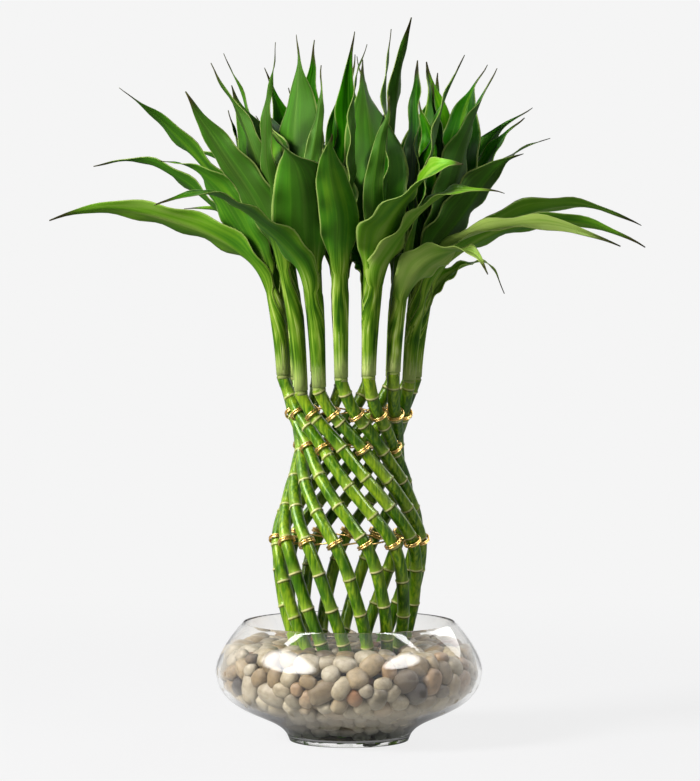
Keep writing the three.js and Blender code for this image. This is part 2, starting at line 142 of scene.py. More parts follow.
class Nodes:
    """A node tree, and the one way to add a node to it."""

    def __init__(self, tree):
        self.tree = tree

    def node(self, kind, sockets=None, settings=None):
        node = self.tree.nodes.new(kind)
        for key, value in (settings or {}).items():
            if key == "stops":
                spare = node.color_ramp.elements
                while len(spare) > 1:
                    spare.remove(spare[-1])
                for place, colour in value:
                    stop = spare.new(place) if place != value[0][0] else spare[0]
                    stop.position = place
                    stop.color = (*colour, 1)
            elif key == "ramp":
                node.color_ramp.interpolation = value
            else:
                setattr(node, key, value)
        for key, value in (sockets or {}).items():
            if isinstance(value, Value):
                self.link(value, node.inputs[key])
            else:
                node.inputs[key].default_value = value
        return node

    def link(self, value, socket):
        self.tree.links.new(value.socket, socket)

    def get(self, kind, sockets=None, settings=None, output=0):
        return Value(self, self.node(kind, sockets, settings).outputs[output])

    def maths(self, operation, *terms):
        return self.get("ShaderNodeMath", dict(enumerate(terms)), {"operation": operation})

    def vector(self, operation, *terms, output=0):
        return self.get("ShaderNodeVectorMath", dict(enumerate(terms)), {"operation": operation}, output)

    def part(self, vector, axis):
        return self.get("ShaderNodeSeparateXYZ", {0: vector}, output=axis)


class Finish(Nodes):
    """A material with its Principled shader, and the parts that most finishes need."""

    def __init__(self, name, **constants):
        self.material = bpy.data.materials.new(name)
        self.material.use_nodes = True
        super().__init__(self.material.node_tree)
        self.tree.nodes.clear()
        self.shader = self.node("ShaderNodeBsdfPrincipled", constants)
        self.out = self.node("ShaderNodeOutputMaterial", {0: Value(self, self.shader.outputs[0])})

    def feed(self, name, value):
        self.link(value, self.shader.inputs[name])

    def place(self):
        return self.get("ShaderNodeTexCoord", output="Object")

    def attribute(self, name):
        return self.get("ShaderNodeAttribute", settings={"attribute_name": name}, output="Fac")

    def noise(self, scale, vector=None, detail=3.0, roughness=0.5, distortion=0.0):
        sockets = {"Scale": scale, "Detail": detail, "Roughness": roughness, "Distortion": distortion}
        return self.get("ShaderNodeTexNoise", {"Vector": vector or self.place(), **sockets})

    def mix(self, share, first, second, blend="MIX"):
        first, second = ((*c, 1) if isinstance(c, tuple) else c for c in (first, second))
        settings = {"data_type": "RGBA", "blend_type": blend}
        return self.get("ShaderNodeMix", {0: share, 6: first, 7: second}, settings, 2)

    def cover(self, colour, *layers):
        """The colour with others laid over it, each by its own share."""
        for share, over in layers:
            colour = self.mix(share, colour, over)
        return colour

    def colours(self, share, stops, ramp="LINEAR"):
        return self.get("ShaderNodeValToRGB", {0: share}, {"stops": stops, "ramp": ramp})

    def bump(self, height, distance, strength=1.0):
        sockets = {"Height": height, "Distance": distance, "Strength": strength}
        self.feed("Normal", self.get("ShaderNodeBump", sockets))


class Growth(Nodes):
    """A Geometry Nodes tree with named inputs."""

    KINDS = {float: "NodeSocketFloat", int: "NodeSocketInt", bpy.types.Material: "NodeSocketMaterial"}

    def __init__(self, name, sizes):
        super().__init__(bpy.data.node_groups.new(name, "GeometryNodeTree"))
        face = self.tree.interface
        face.new_socket("Geometry", in_out="INPUT", socket_type="NodeSocketGeometry")
        face.new_socket("Geometry", in_out="OUTPUT", socket_type="NodeSocketGeometry")
        for label, value in sizes.items():
            kind = self.KINDS[type(value)]
            face.new_socket(label, in_out="INPUT", socket_type=kind).default_value = value
        self.given = self.node("NodeGroupInput")

    def size(self, label):
        return Value(self, self.given.outputs[label])

    def start(self):
        return self.size("Geometry")

    def named(self, name, kind="FLOAT"):
        return self.get("GeometryNodeInputNamedAttribute", {"Name": name}, {"data_type": kind})

    def finish(self, geometry):
        """Every tree ends alike: instances made real, shaded smooth, and given their finish."""
        real = self.get("GeometryNodeRealizeInstances", {"Geometry": geometry})
        smooth = self.get("GeometryNodeSetShadeSmooth", {"Geometry": real})
        sockets = {"Geometry": smooth, "Material": self.size("Finish")}
        self.node("NodeGroupOutput", {0: self.get("GeometryNodeSetMaterial", sockets)})


def grow(name, points, edges, growth, sizes, attributes=None):
    """The plain mesh that a tree makes from these points in millimetres."""
    seed = bpy.data.meshes.new(name)
    seed.from_pydata((np.asarray(points) * MM).tolist(), edges, [])
    for label, (kind, values) in (attributes or {}).items():
        field = "vector" if kind == "FLOAT_VECTOR" else "value"
        flat = np.asarray(values, dtype=np.float32).ravel()
        seed.attributes.new(label, kind, "POINT").data.foreach_set(field, flat)
    source = put(name + "_seed", seed)
    modifier = source.modifiers.new("grow", "NODES")
    modifier.node_group = growth.tree
    for item in growth.tree.interface.items_tree:
        if item.in_out == "INPUT" and item.name in sizes:
            modifier[item.identifier] = sizes[item.name]
    seen = source.evaluated_get(bpy.context.evaluated_depsgraph_get())
    mesh = bpy.data.meshes.new_from_object(seen)
    mesh.name = name
    source.modifiers.remove(modifier)
    bpy.data.objects.remove(source)
    return put(name, mesh)


def build(name, points, faces, material, attributes=None):
    """A smooth mesh from points in millimetres and a list of faces."""
    mesh = bpy.data.meshes.new(name)
    mesh.from_pydata((np.asarray(points) * MM).tolist(), [], faces)
    mesh.polygons.foreach_set("use_smooth", [True] * len(mesh.polygons))
    for label, values in (attributes or {}).items():
        flat = np.concatenate(values).astype(np.float32)
        mesh.attributes.new(label, "FLOAT", "POINT").data.foreach_set("value", flat)
    mesh.materials.append(material)
    return put(name, mesh)


print("helpers ready")

# %% [markdown]
# The weave is one rule. A smooth line gives the lattice's radius and its turn round the axis at each
# height, and each of the fifteen canes is that line turned 24 degrees further round than the last. The
# same line, in the same numbers, shaped the solid canes.

# %%
# The weave
CANES = 15
BOWL = {"foot": 48, "belt": 107, "beltHeight": 55, "mouth": 85, "height": 95, "wall": 2.8, "floor": 4}
CANE = {"radius": 4.9, "ringRadius": 5.6, "jointPitch": 30, "firstAngle": -77.7, "stub": 2.5}
STEM = {"foot": 286, "footSpread": 16, "top": 390, "topRing": 65, "lean": 3, "bendAt": 0.55}
GAP = 0.3
NEARBY = 1e-4
LATTICE = np.array([
    [4.3, 33.5, 167], [62, 40.5, 150], [114, 52.5, 133], [161, 57.5, 115], [200, 47.5, 84], [236, 39, 46],
    [267, 45.5, 10], [300, 56, -4], [335, 62, -12],
], dtype=float)


def lerp(low, high, share):
    return low + (high - low) * share


def smooth(value, low, high):
    share = np.clip((value - low) / (high - low), 0, 1)
    return share * share * (3 - 2 * share)


def unit(vector):
    return vector / np.linalg.norm(vector, axis=-1, keepdims=True)


def draw(a, b):
    """A repeatable draw between 0 and 1 for the pair (a, b)."""
    value = math.sin(a * 12.9898 + b * 78.233) * 43758.5453
    return value - math.floor(value)


def draw_in(span, a, b):
    return lerp(span[0], span[1], draw(a, b))


def on_ring(radius, angle, height):
    turn = np.radians(angle)
    return np.stack(np.broadcast_arrays(radius * np.sin(turn), -radius * np.cos(turn), height), -1)


def weave(t):
    """Height, radius and turn of the lattice at a share t of the whole line."""
    t = np.asarray(t, dtype=float)
    guides = np.vstack([2 * LATTICE[0] - LATTICE[1], LATTICE, 2 * LATTICE[-1] - LATTICE[-2]])
    run = (len(LATTICE) - 1) * t
    i = np.clip(np.floor(run).astype(int), 0, len(LATTICE) - 2)
    w = (run - i)[..., None]
    before, start, stop, after = (guides[i + n] for n in range(4))
    leave = 0.5 * (stop - before)
    arrive = 0.5 * (after - start)
    bend = 3 * (stop - start) - 2 * leave - arrive
    return start + leave * w + bend * w**2 + (2 * (start - stop) + leave + arrive) * w**3


def share_at(height):
    """The share of the whole line at which it reaches a height, found by halving."""
    low, high = 0.0, 1.0
    for _ in range(40):
        middle = (low + high) / 2
        if weave(middle)[0] < height:
            low = middle
        else:
            high = middle
    return low


def phase(k):
    return CANE["firstAngle"] + 360 * k / CANES


def shoot_foot(k):
    return STEM["foot"] + STEM["footSpread"] * (draw(k, 11) - 0.5)


def cane_line(k, t):
    w = weave(np.asarray(t) * share_at(shoot_foot(k) + CANE["stub"]))
    return on_ring(w[..., 1], phase(k) + w[..., 2], w[..., 0])


def cane_at(k, height):
    """The middle of a cane at a height, and its direction there."""
    t = share_at(height) / share_at(shoot_foot(k) + CANE["stub"])
    step = cane_line(k, t + NEARBY) - cane_line(k, t - NEARBY)
    return cane_line(k, t), step / np.linalg.norm(step)


print("fifteen canes, the first at", CANE["firstAngle"], "degrees from the front")

# %% [markdown]
# A living cane is glossy and green, yellower on its sunny side. Every three centimetres it has a joint:
# a thin pale raised ring, with a fine brown line under it where a leaf once clasped it. The tree that
# grows the canes counts joints along each cane and stores that count, and the finish reads it, so the
# pale rings of colour always lie on the raised rings of the mesh.

# %%
# Cane finish
skin = Finish("cane_skin", **{
    "Specular IOR Level": 0.3, "Specular Tint": (0.8, 1.0, 0.5, 1),
    "Coat Weight": 0.2, "Coat Roughness": 0.12,
})
joint = ((skin.attribute("beat") + 0.5).fraction() - 0.5) * (CANE["jointPitch"] * MM)
streaks = skin.noise(1.0, skin.vector("MULTIPLY", skin.place(), (520, 520, 30)), 4)
patches = skin.noise(34, None, 2)
colour = skin.colours(streaks * 0.55 + patches * 0.45, [
    (0.32, (0.007, 0.042, 0.001)), (0.47, (0.042, 0.125, 0.002)), (0.64, (0.215, 0.325, 0.012)),
])
over_joint = joint.ramp(0.0004, 0.010, 1.0, 0.0) * joint.above(0.0004)
ring = joint.size().ramp(0.0003, 0.0009, 1.0, 0.0)
ring_colour = skin.mix(patches.ramp(0.35, 0.7), (0.62, 0.55, 0.27), (0.36, 0.36, 0.13))
scar = (joint + 0.0014).size().ramp(0.0002, 0.0007, 1.0, 0.0)
skin.feed("Base Color", skin.cover(
    colour, (over_joint * 0.45, (0.26, 0.38, 0.035)), (ring * 0.85, ring_colour),
    (scar * 0.8, (0.06, 0.045, 0.012)),
))
skin.feed("Roughness", 0.26 + 0.25 * ring + 0.12 * patches)
skin.bump(streaks, 0.0004, 0.35)

# %%
# Cane tree: a tube that swells at its joints
tree = Growth("swelling_tube", {
    "Radius": CANE["radius"] * MM, "Ring height": (CANE["ringRadius"] - CANE["radius"]) * MM,
    "Ring width": 0.0009, "Swell": 0.00012, "Swell rate": 105.0, "Step": 0.0012, "Sides": 16,
    "First joint": 0.015, "Joint pitch": 0.03, "Finish": skin.material,
})
line = tree.get("GeometryNodeMeshToCurve", {"Mesh": tree.start()})
line = tree.get("GeometryNodeResampleCurve", {"Curve": line, "Length": tree.size("Step")}, {"mode": "LENGTH"})
run = tree.get("GeometryNodeSplineParameter", output="Length")
beat = (run - tree.size("First joint")) / tree.size("Joint pitch") + 2.0
offset = ((beat + 0.5).fraction() - 0.5) * tree.size("Joint pitch")
swell = offset / tree.size("Ring width")
rise = (math.e ** (-1 * (swell * swell))) * tree.size("Ring height")
between_joints = (offset * tree.size("Swell rate")).math("COSINE") * tree.size("Swell")
radius = tree.size("Radius") + rise + between_joints
line = tree.get("GeometryNodeStoreNamedAttribute", {"Geometry": line, "Name": "beat", "Value": beat}, {
    "data_type": "FLOAT", "domain": "POINT",
})
circle = tree.get("GeometryNodeCurvePrimitiveCircle", {"Resolution": tree.size("Sides"), "Radius": 1.0})
tree.finish(tree.get("GeometryNodeCurveToMesh", {
    "Curve": line, "Profile Curve": circle, "Scale": radius, "Fill Caps": True,
}))

# %%
# The fifteen canes
for k in range(CANES):
    path = cane_line(k, np.linspace(0, 1, 161))
    length = np.linalg.norm(np.diff(path, axis=0), axis=1).sum()
    first = CANE["jointPitch"] * draw_in([0.35, 0.85], k, 1)
    steps = [(i, i + 1) for i in range(len(path) - 1)]
    cane = grow(f"cane_{k + 1:02d}_skin", path, steps, tree, {
        "First joint": float(first * MM), "Joint pitch": CANE["jointPitch"] * MM,
    })
    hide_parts(f"cane_{k + 1:02d}")
    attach(cane, "root")
print("a cane is", round(length), "mm long and has", len(cane.data.polygons), "faces")

# %% [markdown]
# The ties are soft brass wire. One wire runs inside the ring of canes and winds twice round each cane
# that it holds, so its route is worked out turn by turn and a round profile is drawn along it.

# %%
# Tie wires
brass = Finish("drawn_brass", Metallic=1.0)
wear = brass.noise(900, None, 2)
brass.feed("Base Color", brass.mix(wear.ramp(0.35, 0.7), (0.95, 0.66, 0.24), (0.66, 0.38, 0.10)))
brass.feed("Roughness", 0.2 + 0.22 * wear)
WIRE = {"radius": 0.7, "turnDrop": 3.6}
TIES = {"lower": (162, 1), "waist": (236, 2), "upper": (263, 1)}
tree = Growth("drawn_wire", {"Radius": WIRE["radius"] * MM, "Sides": 10, "Finish": brass.material})
line = tree.get("GeometryNodeMeshToCurve", {"Mesh": tree.start()})
circle = tree.get("GeometryNodeCurvePrimitiveCircle", {
    "Resolution": tree.size("Sides"), "Radius": tree.size("Radius"),
})
tree.finish(tree.get("GeometryNodeCurveToMesh", {"Curve": line, "Profile Curve": circle}))


def wire_route(height, every, steps=18, between=7):
    """Two turns round every cane, or every second one, and a straight run on to the next."""
    loop = CANE["ringRadius"] + GAP + WIRE["radius"]
    turns = []
    for k in range(0, CANES, every):
        at, along = cane_at(k, height)
        inward = np.array([-at[0], -at[1], 0.0])
        inward = unit(inward - along * (inward @ along))
        other = np.cross(inward, along)
        for i in range(2 * steps + 1):
            turn = 2 * math.pi * i / steps
            out = inward * math.cos(turn) + other * math.sin(turn)
            turns.append(at + out * loop + along * WIRE["turnDrop"] * (0.5 - i / (2 * steps)))
    route = []
    for i, point in enumerate(turns):
        route.append(point)
        if i % (2 * steps + 1) == 2 * steps:
            onward = turns[(i + 1) % len(turns)]
            route.extend(lerp(point, onward, n / between) for n in range(1, between))
    return np.array(route)


for name, (height, every) in TIES.items():
    route = wire_route(height, every)
    ring = [(i, (i + 1) % len(route)) for i in range(len(route))]
    wire = grow(f"{name}_tie_wire_drawn", route, ring, tree, {})
    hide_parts(f"{name}_tie_wire")
    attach(wire, "root")
    print(name, "wire", len(wire.data.polygons), "faces")

# %% [markdown]
# The bowl is blown glass: a flat foot, a wall of nearly three millimetres that thins towards the top, and
# a rounded fire-polished lip. It is turned from one outline, like a pot on a wheel. Light must reach the
# stones through it, so it casts no shadow of its own.


# %%
# Bowl outline and turning
def bezier(points, t):
    """A point of the curve with these guides, by repeated halving between them."""
    t = np.asarray(t, dtype=float)[..., None]
    rows = [np.asarray(p, dtype=float) for p in points]
    while len(rows) > 1:
        rows = [a + (b - a) * t for a, b in zip(rows, rows[1:])]
    return rows[0]


BELT = (BOWL["belt"], BOWL["beltHeight"])
LOWER_WALL = [(BOWL["foot"], 0), (52, 24), (104, 18), BELT]
UPPER_WALL = [BELT, (BOWL["belt"], 1.28 * BOWL["beltHeight"]), (BOWL["mouth"], BOWL["height"])]
LIP = {"thinnedBy": 0.75, "from": 0.3, "to": 2.84, "points": 8}
UNDERSIDE = [(0, 0.8), (36, 0.8), (40, 0.5), (42, 0.1), (43.5, 0), (46.8, 0), (47.8, 0.3)]


def wall_outline(inset, steps):
    """The wall's outline, or one that lies this far inside it."""
    rows = []
    for guides in (LOWER_WALL, UPPER_WALL):
        t = np.linspace(0, 1, steps + 1)
        at = bezier(guides, t)
        step = unit(bezier(guides, t + NEARBY) - bezier(guides, t - NEARBY))
        rows.append(at + inset * np.stack([-step[:, 1], step[:, 0]], 1))
    return np.vstack([rows[0], rows[1][1:]])


def quads(index):
    """The faces between the rows and columns of a grid of point numbers."""
    return np.stack([index[:-1, :-1], index[:-1, 1:], index[1:, 1:], index[1:, :-1]], -1).reshape(-1, 4)


def closed_rows(rows, sides):
    """Point numbers of a tube, where each row ends with its first point again."""
    index = np.arange(rows * sides).reshape(rows, sides)
    return np.column_stack([index, index[:, 0]])


def turned(outline, sides):
    """Points and faces of a closed solid turned from an outline that starts and ends on the axis."""
    angles = np.arange(sides) * 360 / sides
    rings = np.stack([on_ring(r, angles, z) for r, z in outline[1:-1]])
    points = np.vstack([rings.reshape(-1, 3), [[0, 0, outline[0][1]], [0, 0, outline[-1][1]]]])
    index = closed_rows(len(rings), sides)
    low, high = index[0].tolist(), index[-1].tolist()
    start, end = len(points) - 2, len(points) - 1
    caps = [(start, b, a) for a, b in zip(low, low[1:])] + [(end, a, b) for a, b in zip(high, high[1:])]
    return points, quads(index).tolist() + caps


outer = wall_outline(0, 26)
inner = wall_outline(BOWL["wall"], 26)
thinned = LIP["thinnedBy"] * smooth(outer[:, 1], BOWL["beltHeight"], BOWL["height"])
inner = lerp(inner, outer, thinned[:, None])
floor_z = BOWL["floor"]
inner = inner[inner[:, 1] > floor_z + 3][::-1]
middle = (outer[-1] + inner[0]) / 2
start = outer[-1] - middle
side = np.array([-start[1], start[0]])
turns = np.linspace(LIP["from"], LIP["to"], LIP["points"])
lip = [middle + start * math.cos(a) + side * math.sin(a) for a in turns]
seat = bezier([inner[-1], (inner[-1][0] - 2, floor_z), (42, floor_z)], np.linspace(0.15, 1, 7))
inside = [(36, floor_z), (24, floor_z), (0, floor_z)]
outline = np.vstack([UNDERSIDE, outer[1:], lip, inner, seat, inside])
glass = Finish("clear_glass", **{
    "Base Color": (0.995, 0.993, 0.98, 1), "Roughness": 0.0, "IOR": 1.4, "Transmission Weight": 1.0,
})
points, faces = turned(outline, 128)
bowl = build("bowl_glass", points, faces, glass.material)
bowl.visible_shadow = False
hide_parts("glass_bowl")
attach(bowl, "root")
print("bowl", len(faces), "faces, lip at", round(max(p[1] for p in outline), 1), "mm")

# %% [markdown]
# The stones are river pebbles, one to three centimetres long, in creams, tans and greys. Each is a
# rounded box with a shape and a tone of its own. They are sown over the inside of the glass and over
# the top of the pile, and pushed apart until they rest side by side with the flat of each against
# the glass, as real ones settle.

# %%
# Where the stones lie
STONE = {"least": 5.3, "most": 10.2, "clear": 0.35, "top": 74, "layers": (6.0, 18.0), "spacing": 150}
REST = {"rounds": 70, "overlap": 0.93, "ease": 0.36, "glass": 0.80, "cane": 0.92, "top": 0.45, "floor": 0.9}
HUMPS = {"height": 1.5, "across": 0.11, "deep": 0.09}
GOLDEN_ANGLE = 137.508
rng = np.random.default_rng(23)
glass_inside = wall_outline(BOWL["wall"] + STONE["clear"], 40)
glass_inside = glass_inside[glass_inside[:, 1] < 88]
cane_feet = [cane_at(k, STONE["top"]) for k in range(CANES)]


def sow(depth):
    """Evenly spread starts over a skin that lies this deep in the pile."""
    shell = wall_outline(BOWL["wall"] + STONE["clear"] + depth, 40)
    level = STONE["top"] - depth
    shell = shell[(shell[:, 1] > BOWL["floor"] + 0.9 * depth) & (shell[:, 1] < level)]
    shell = np.vstack([shell, [(shell[-1, 0] - 3, level), (2, level)]])
    seg = np.diff(shell, axis=0)
    size = np.linalg.norm(seg, axis=1)
    area = np.concatenate([[0], np.cumsum(size * (shell[1:, 0] + shell[:-1, 0]) * math.pi)])
    count = int(area[-1] / STONE["spacing"])
    place = (np.arange(count) + 0.5) / count * area[-1]
    i = np.searchsorted(area, place) - 1
    part = ((place - area[i]) / (area[i + 1] - area[i]))[:, None]
    flat = shell[i] + seg[i] * part
    turn = np.arange(count) * GOLDEN_ANGLE + 40 * depth
    slope = seg[i] / size[i][:, None]
    normal = on_ring(slope[:, 1], turn, -slope[:, 0])
    return on_ring(flat[:, 0], turn, flat[:, 1]), normal


starts = [sow(depth) for depth in STONE["layers"]]
centres = np.vstack([s[0] for s in starts])
normals = np.vstack([s[1] for s in starts])
radii = STONE["least"] + (STONE["most"] - STONE["least"]) * rng.random(len(centres)) ** 1.6
centres = centres + rng.normal(0, 1.2, centres.shape)


def push_apart(centres, radii):
    gap = centres[:, None] - centres[None]
    away = np.linalg.norm(gap, axis=2) + np.eye(len(centres)) * 1e6
    overlap = np.clip(REST["overlap"] * (radii[:, None] + radii[None]) - away, 0, None)
    return (gap / away[..., None] * overlap[..., None]).sum(1) * REST["ease"]


def push_inside(centres, radii):
    across = np.hypot(centres[:, 0], centres[:, 1])
    here = np.stack([across, centres[:, 2]], 1)
    gap = here[:, None] - glass_inside[None]
    away = np.linalg.norm(gap, axis=2)
    near = away.argmin(1)
    least = away[np.arange(len(here)), near]
    outside = across > np.interp(centres[:, 2], glass_inside[:, 1], glass_inside[:, 0])
    least = np.where(outside, -least, least)
    step = gap[np.arange(len(here)), near] / np.maximum(np.abs(least), 1e-6)[:, None]
    step = np.where(outside[:, None], -step, step)
    move = np.clip(REST["glass"] * radii - least, 0, None)[:, None] * step
    flat = centres[:, :2] / np.maximum(across, 1e-6)[:, None]
    return np.column_stack([flat * move[:, :1], move[:, 1]])


for _ in range(REST["rounds"]):
    centres = centres + push_apart(centres, radii)
    for at, along in cane_feet:
        on_cane = at + along * ((centres[:, 2] - at[2]) / along[2])[:, None]
        gap = (centres - on_cane)[:, :2]
        away = np.linalg.norm(gap, axis=1) + 1e-6
        need = np.clip(CANE["ringRadius"] + REST["cane"] * radii - away, 0, None)
        centres[:, :2] += gap / away[:, None] * need[:, None]
    centres = centres + push_inside(centres, radii)
    hump = HUMPS["height"] * np.sin(centres[:, 0] * HUMPS["across"])
    top = STONE["top"] + hump * np.cos(centres[:, 1] * HUMPS["deep"])
    centres[:, 2] = np.minimum(centres[:, 2], top - REST["top"] * radii)
    centres[:, 2] = np.maximum(centres[:, 2], BOWL["floor"] + 0.4 + REST["floor"] * radii)
print(len(centres), "stones from", round(2 * radii.min(), 1), "to", round(2 * radii.max(), 1), "mm")

# %%
# Stone finish, with painted light and painted shade low in the bowl
rock = Finish("river_stone", **{"Specular IOR Level": 0.5})
mottle = rock.noise(260, None, 5, 0.6, 0.4)
specks = rock.noise(1500, None, 2)
colour = rock.colours(rock.attribute("tone"), [
    (0.0, (0.88, 0.80, 0.64)), (0.17, (0.74, 0.61, 0.42)), (0.31, (0.56, 0.43, 0.26)),
    (0.43, (0.84, 0.78, 0.68)), (0.56, (0.66, 0.47, 0.31)), (0.65, (0.42, 0.33, 0.21)),
    (0.73, (0.93, 0.88, 0.78)), (0.85, (0.52, 0.48, 0.40)), (0.91, (0.26, 0.20, 0.13)),
    (0.95, (0.55, 0.25, 0.09)), (0.98, (0.06, 0.04, 0.03)),
], "CONSTANT")
colour = rock.mix(mottle.ramp(0.35, 0.7) * 0.45, colour, (0.30, 0.24, 0.17), "MULTIPLY")
colour = rock.mix(specks.ramp(0.62, 0.72) * 0.35, colour, (0.16, 0.12, 0.08))
colour = rock.mix(1.0, colour, (0.34, 0.312, 0.255), "MULTIPLY")
height = rock.part(rock.place(), "Z")
rock.feed("Base Color", rock.cover(
    # Painted light: stones lower than 5 cm are painted paler, as if lit by light bouncing up to them
    colour, (height.ramp(0.026, 0.052, 0.4, 0.0), (0.86, 0.77, 0.57)),
    # Painted shade: stones lower than 2.4 cm are painted nearly black, for the shade at the foot of the bowl
    (height.ramp(0.010, 0.024, 0.97, 0.0), (0.012, 0.018, 0.006)),
))
rock.feed("Roughness", 0.38 + 0.25 * mottle)
rock.bump(mottle + 0.3 * specks, 0.0006, 0.4)

# %%
# Stone tree: a rounded box on each point, turned, sized and roughened by its own numbers
tree = Growth("rounded_stones", {
    "Cells": 5, "Bluntness": 0.78, "Roughness of shape": 0.16, "Bumps per metre": 60.0,
    "Finish": rock.material,
})
sides = {f"Vertices {axis}": tree.size("Cells") for axis in "XYZ"}
box = tree.get("GeometryNodeMeshCube", {"Size": (1, 1, 1), **sides})
here = tree.get("GeometryNodeInputPosition")
ball = tree.vector("NORMALIZE", here)
blunt = tree.get("ShaderNodeMix", {0: tree.size("Bluntness"), 4: here, 5: ball}, {"data_type": "VECTOR"}, 1)
box = tree.get("GeometryNodeSetPosition", {"Geometry": box, "Position": blunt})
dots = tree.get("GeometryNodeMeshToPoints", {"Mesh": tree.start()})
stones = tree.get("GeometryNodeInstanceOnPoints", {
    "Points": dots, "Instance": box, "Rotation": tree.named("turn", "FLOAT_VECTOR"),
    "Scale": tree.named("half", "FLOAT_VECTOR"),
})
stones = tree.get("GeometryNodeRealizeInstances", {"Geometry": stones})
shift = tree.get("ShaderNodeCombineXYZ", {0: tree.named("tone") * 9.0})
lump = tree.get("ShaderNodeTexNoise", {
    "Vector": tree.vector("ADD", here, shift), "Scale": tree.size("Bumps per metre"), "Detail": 1.0,
})
push = (lump - 0.5) * tree.size("Roughness of shape") * tree.named("girth")
normal = tree.get("GeometryNodeInputNormal")
move = tree.get("ShaderNodeVectorMath", {0: normal, "Scale": push}, {"operation": "SCALE"})
tree.finish(tree.get("GeometryNodeSetPosition", {"Geometry": stones, "Offset": move}))

# %%
# The pile of stones
halves = np.stack([
    radii * rng.uniform(1.02, 1.5, len(radii)), radii * rng.uniform(0.86, 1.05, len(radii)), radii * 0.80,
], 1) * MM * 1.12
turns = []
for normal in normals:
    thin = unit(normal + rng.normal(0, 0.22, 3))
    long = unit(np.cross(thin, rng.normal(0, 1, 3)))
    axes = np.stack([long, np.cross(thin, long), thin], 1)
    turns.append(Matrix(axes.tolist()).to_euler()[:])
pile = grow("river_stones", centres, [], tree, {}, {
    "turn": ("FLOAT_VECTOR", turns),
    "half": ("FLOAT_VECTOR", halves),
    "tone": ("FLOAT", rng.random(len(radii))),
    "girth": ("FLOAT", radii * MM * 2),
})
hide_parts("pebbles")
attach(pile, "root")
print("pile", len(pile.data.polygons), "faces")

# %% [markdown]
# Between the stones there is only shade. A plain heap behind the two outer layers, painted near black
# as painted shade, closes the view, so the stones in the middle of the bowl, which nobody sees, don't
# have to be made.

# %%
# The dark heap behind the stones, painted near black as painted shade
dark = Finish("shaded_gravel", **{"Roughness": 0.9})
grit = dark.noise(200, None, 4)
# The heap's colour is painted shade: near black with a faint grit, for stones that lie in shadow
colour = dark.mix(grit.ramp(0.3, 0.7), (0.010, 0.010, 0.005), (0.045, 0.042, 0.024))
dark.feed("Base Color", colour)
dark.bump(grit, 0.002)
heap_skin = wall_outline(BOWL["wall"] + 17, 16)
heap_skin = heap_skin[(heap_skin[:, 1] > 10) & (heap_skin[:, 1] < 60)]
heap_foot = BOWL["floor"] + 0.5
heap_outline = np.vstack([[(0, heap_foot), (42, heap_foot), (42, 7)], heap_skin, [(70, 63), (0, 64)]])
points, faces = turned(heap_outline, 60)
heap = build("hidden_heap", points, faces, dark.material)
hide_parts("pebbles")
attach(heap, "root")
print("heap", len(faces), "faces")

# %% [markdown]
# Each cane's cut top carries a shoot. Its leaves spring from the stem one above another: the foot of
# each is a pale sheath wrapped round the stem, which opens on one side and widens into a long pointed
# blade. The blades take the places that the solid leaves hold, by the same rule with the same numbers.

# %%
# The rule that places the leaves
LEAF = {
    "sheath": 5.4, "tipHalf": 0.7, "fold": 17, "wave": 1.6, "waveRate": 13, "waveShift": 1.6,
    "baseTaper": 0.8, "tipTaper": 1.2, "perShoot": 6,
}
SEEN = [
    [[-238, -20, 422, 24, 34, 38], [-150, 10, 470, 26, 20, 30]],
    [[-127, -50, 522, 28, 0, 15], [-88, -20, 522, 48, 4, 10], [-98, 30, 545, 16, 0, 0]],
    [[-36, -20, 563, 48, 0, 0], [-49, -88, 484, 48, 8, 0], [-142, -110, 437, 26, 30, -10],
     [-62, -44, 516, 44, 4, 0]],
    [[-33, -75, 506, 42, 4, 0], [-12, -90, 484, 26, 8, 0]],
    [[10, -40, 542, 50, 0, 0], [83, -90, 463, 46, 26, 20], [112, -105, 436, 25, 46, 20]],
    [[50, -10, 548, 32, 0, 0], [112, -95, 376, 28, 46, -20], [214, -45, 404, 20, 34, 25]],
    [[116, -25, 538, 34, 0, -10], [137, -30, 471, 38, 16, -20], [239, -15, 404, 22, 40, -25]],
    [[108, 10, 553, 40, 0, -5], [142, 5, 506, 22, 6, -20], [240, 20, 418, 27, 40, -30],
     [130, 0, 365, 12, 46, 0]],
    [[69, 20, 551, 32, 0, 0], [146, 60, 520, 18, 4, -15], [165, 40, 493, 18, 16, -15]],
    [[73, 50, 544, 32, 0, 0]],
    [[4, 50, 557, 30, 0, 0], [42, 30, 578, 28, 12, 0]],
    [[-4, 20, 567, 30, 0, 0], [14, 60, 559, 28, 0, 0]],
    [[-55, 50, 542, 32, 0, 0], [-34, 10, 564, 32, 0, 0]],
    [[-90, 40, 556, 26, 0, 10], [-110, 60, 434, 20, 26, 0]],
    [[-180, 20, 529, 27, 4, 30], [-206, 30, 474, 22, 28, 30]],
]
SPRING = {
    "lying": 0.62, "upright": 0.98, "lowest": 0.55, "highest": 0.95, "out": 3, "outward": 12,
    "lift": 0.28, "archedLift": 0.2, "fullArch": 46, "bow": 10, "bendAt": 0.55, "facing": 60,
}
RULED = {
    "inwardClimb": [60, 60, 60, 66, 74, 82], "outwardClimb": [14, 24, 36, 50, 66, 80],
    "spread": [28, 62], "length": [124, 168], "width": [25, 34], "roll": [-12, 12],
    "arch": 26, "narrow": 0.6, "springAt": 0.85, "frontShare": 0.2,
}
TRIES = {"steps": 17, "shift": 7, "turn": 9, "pivotAt": 0.8}
SEEN_ROUNDS = [0, 12, -12]
RULED_ROUNDS = [[1, 0], [1, 18], [1, -18], [0.82, 0], [0.82, 24], [0.7, 8], [0.95, -34], [0.6, 14]]
MOST_CLASHES = {"others": 10, "own": 22}
SAMPLE = {"along": 48, "first": 6, "across": 4, "ownFrom": 0.4}
ROOM = {"cell": 3.4, "cells": (210, 210, 240), "origin": (105, 105, 20)}
UP = np.array([0.0, 0.0, 1.0])


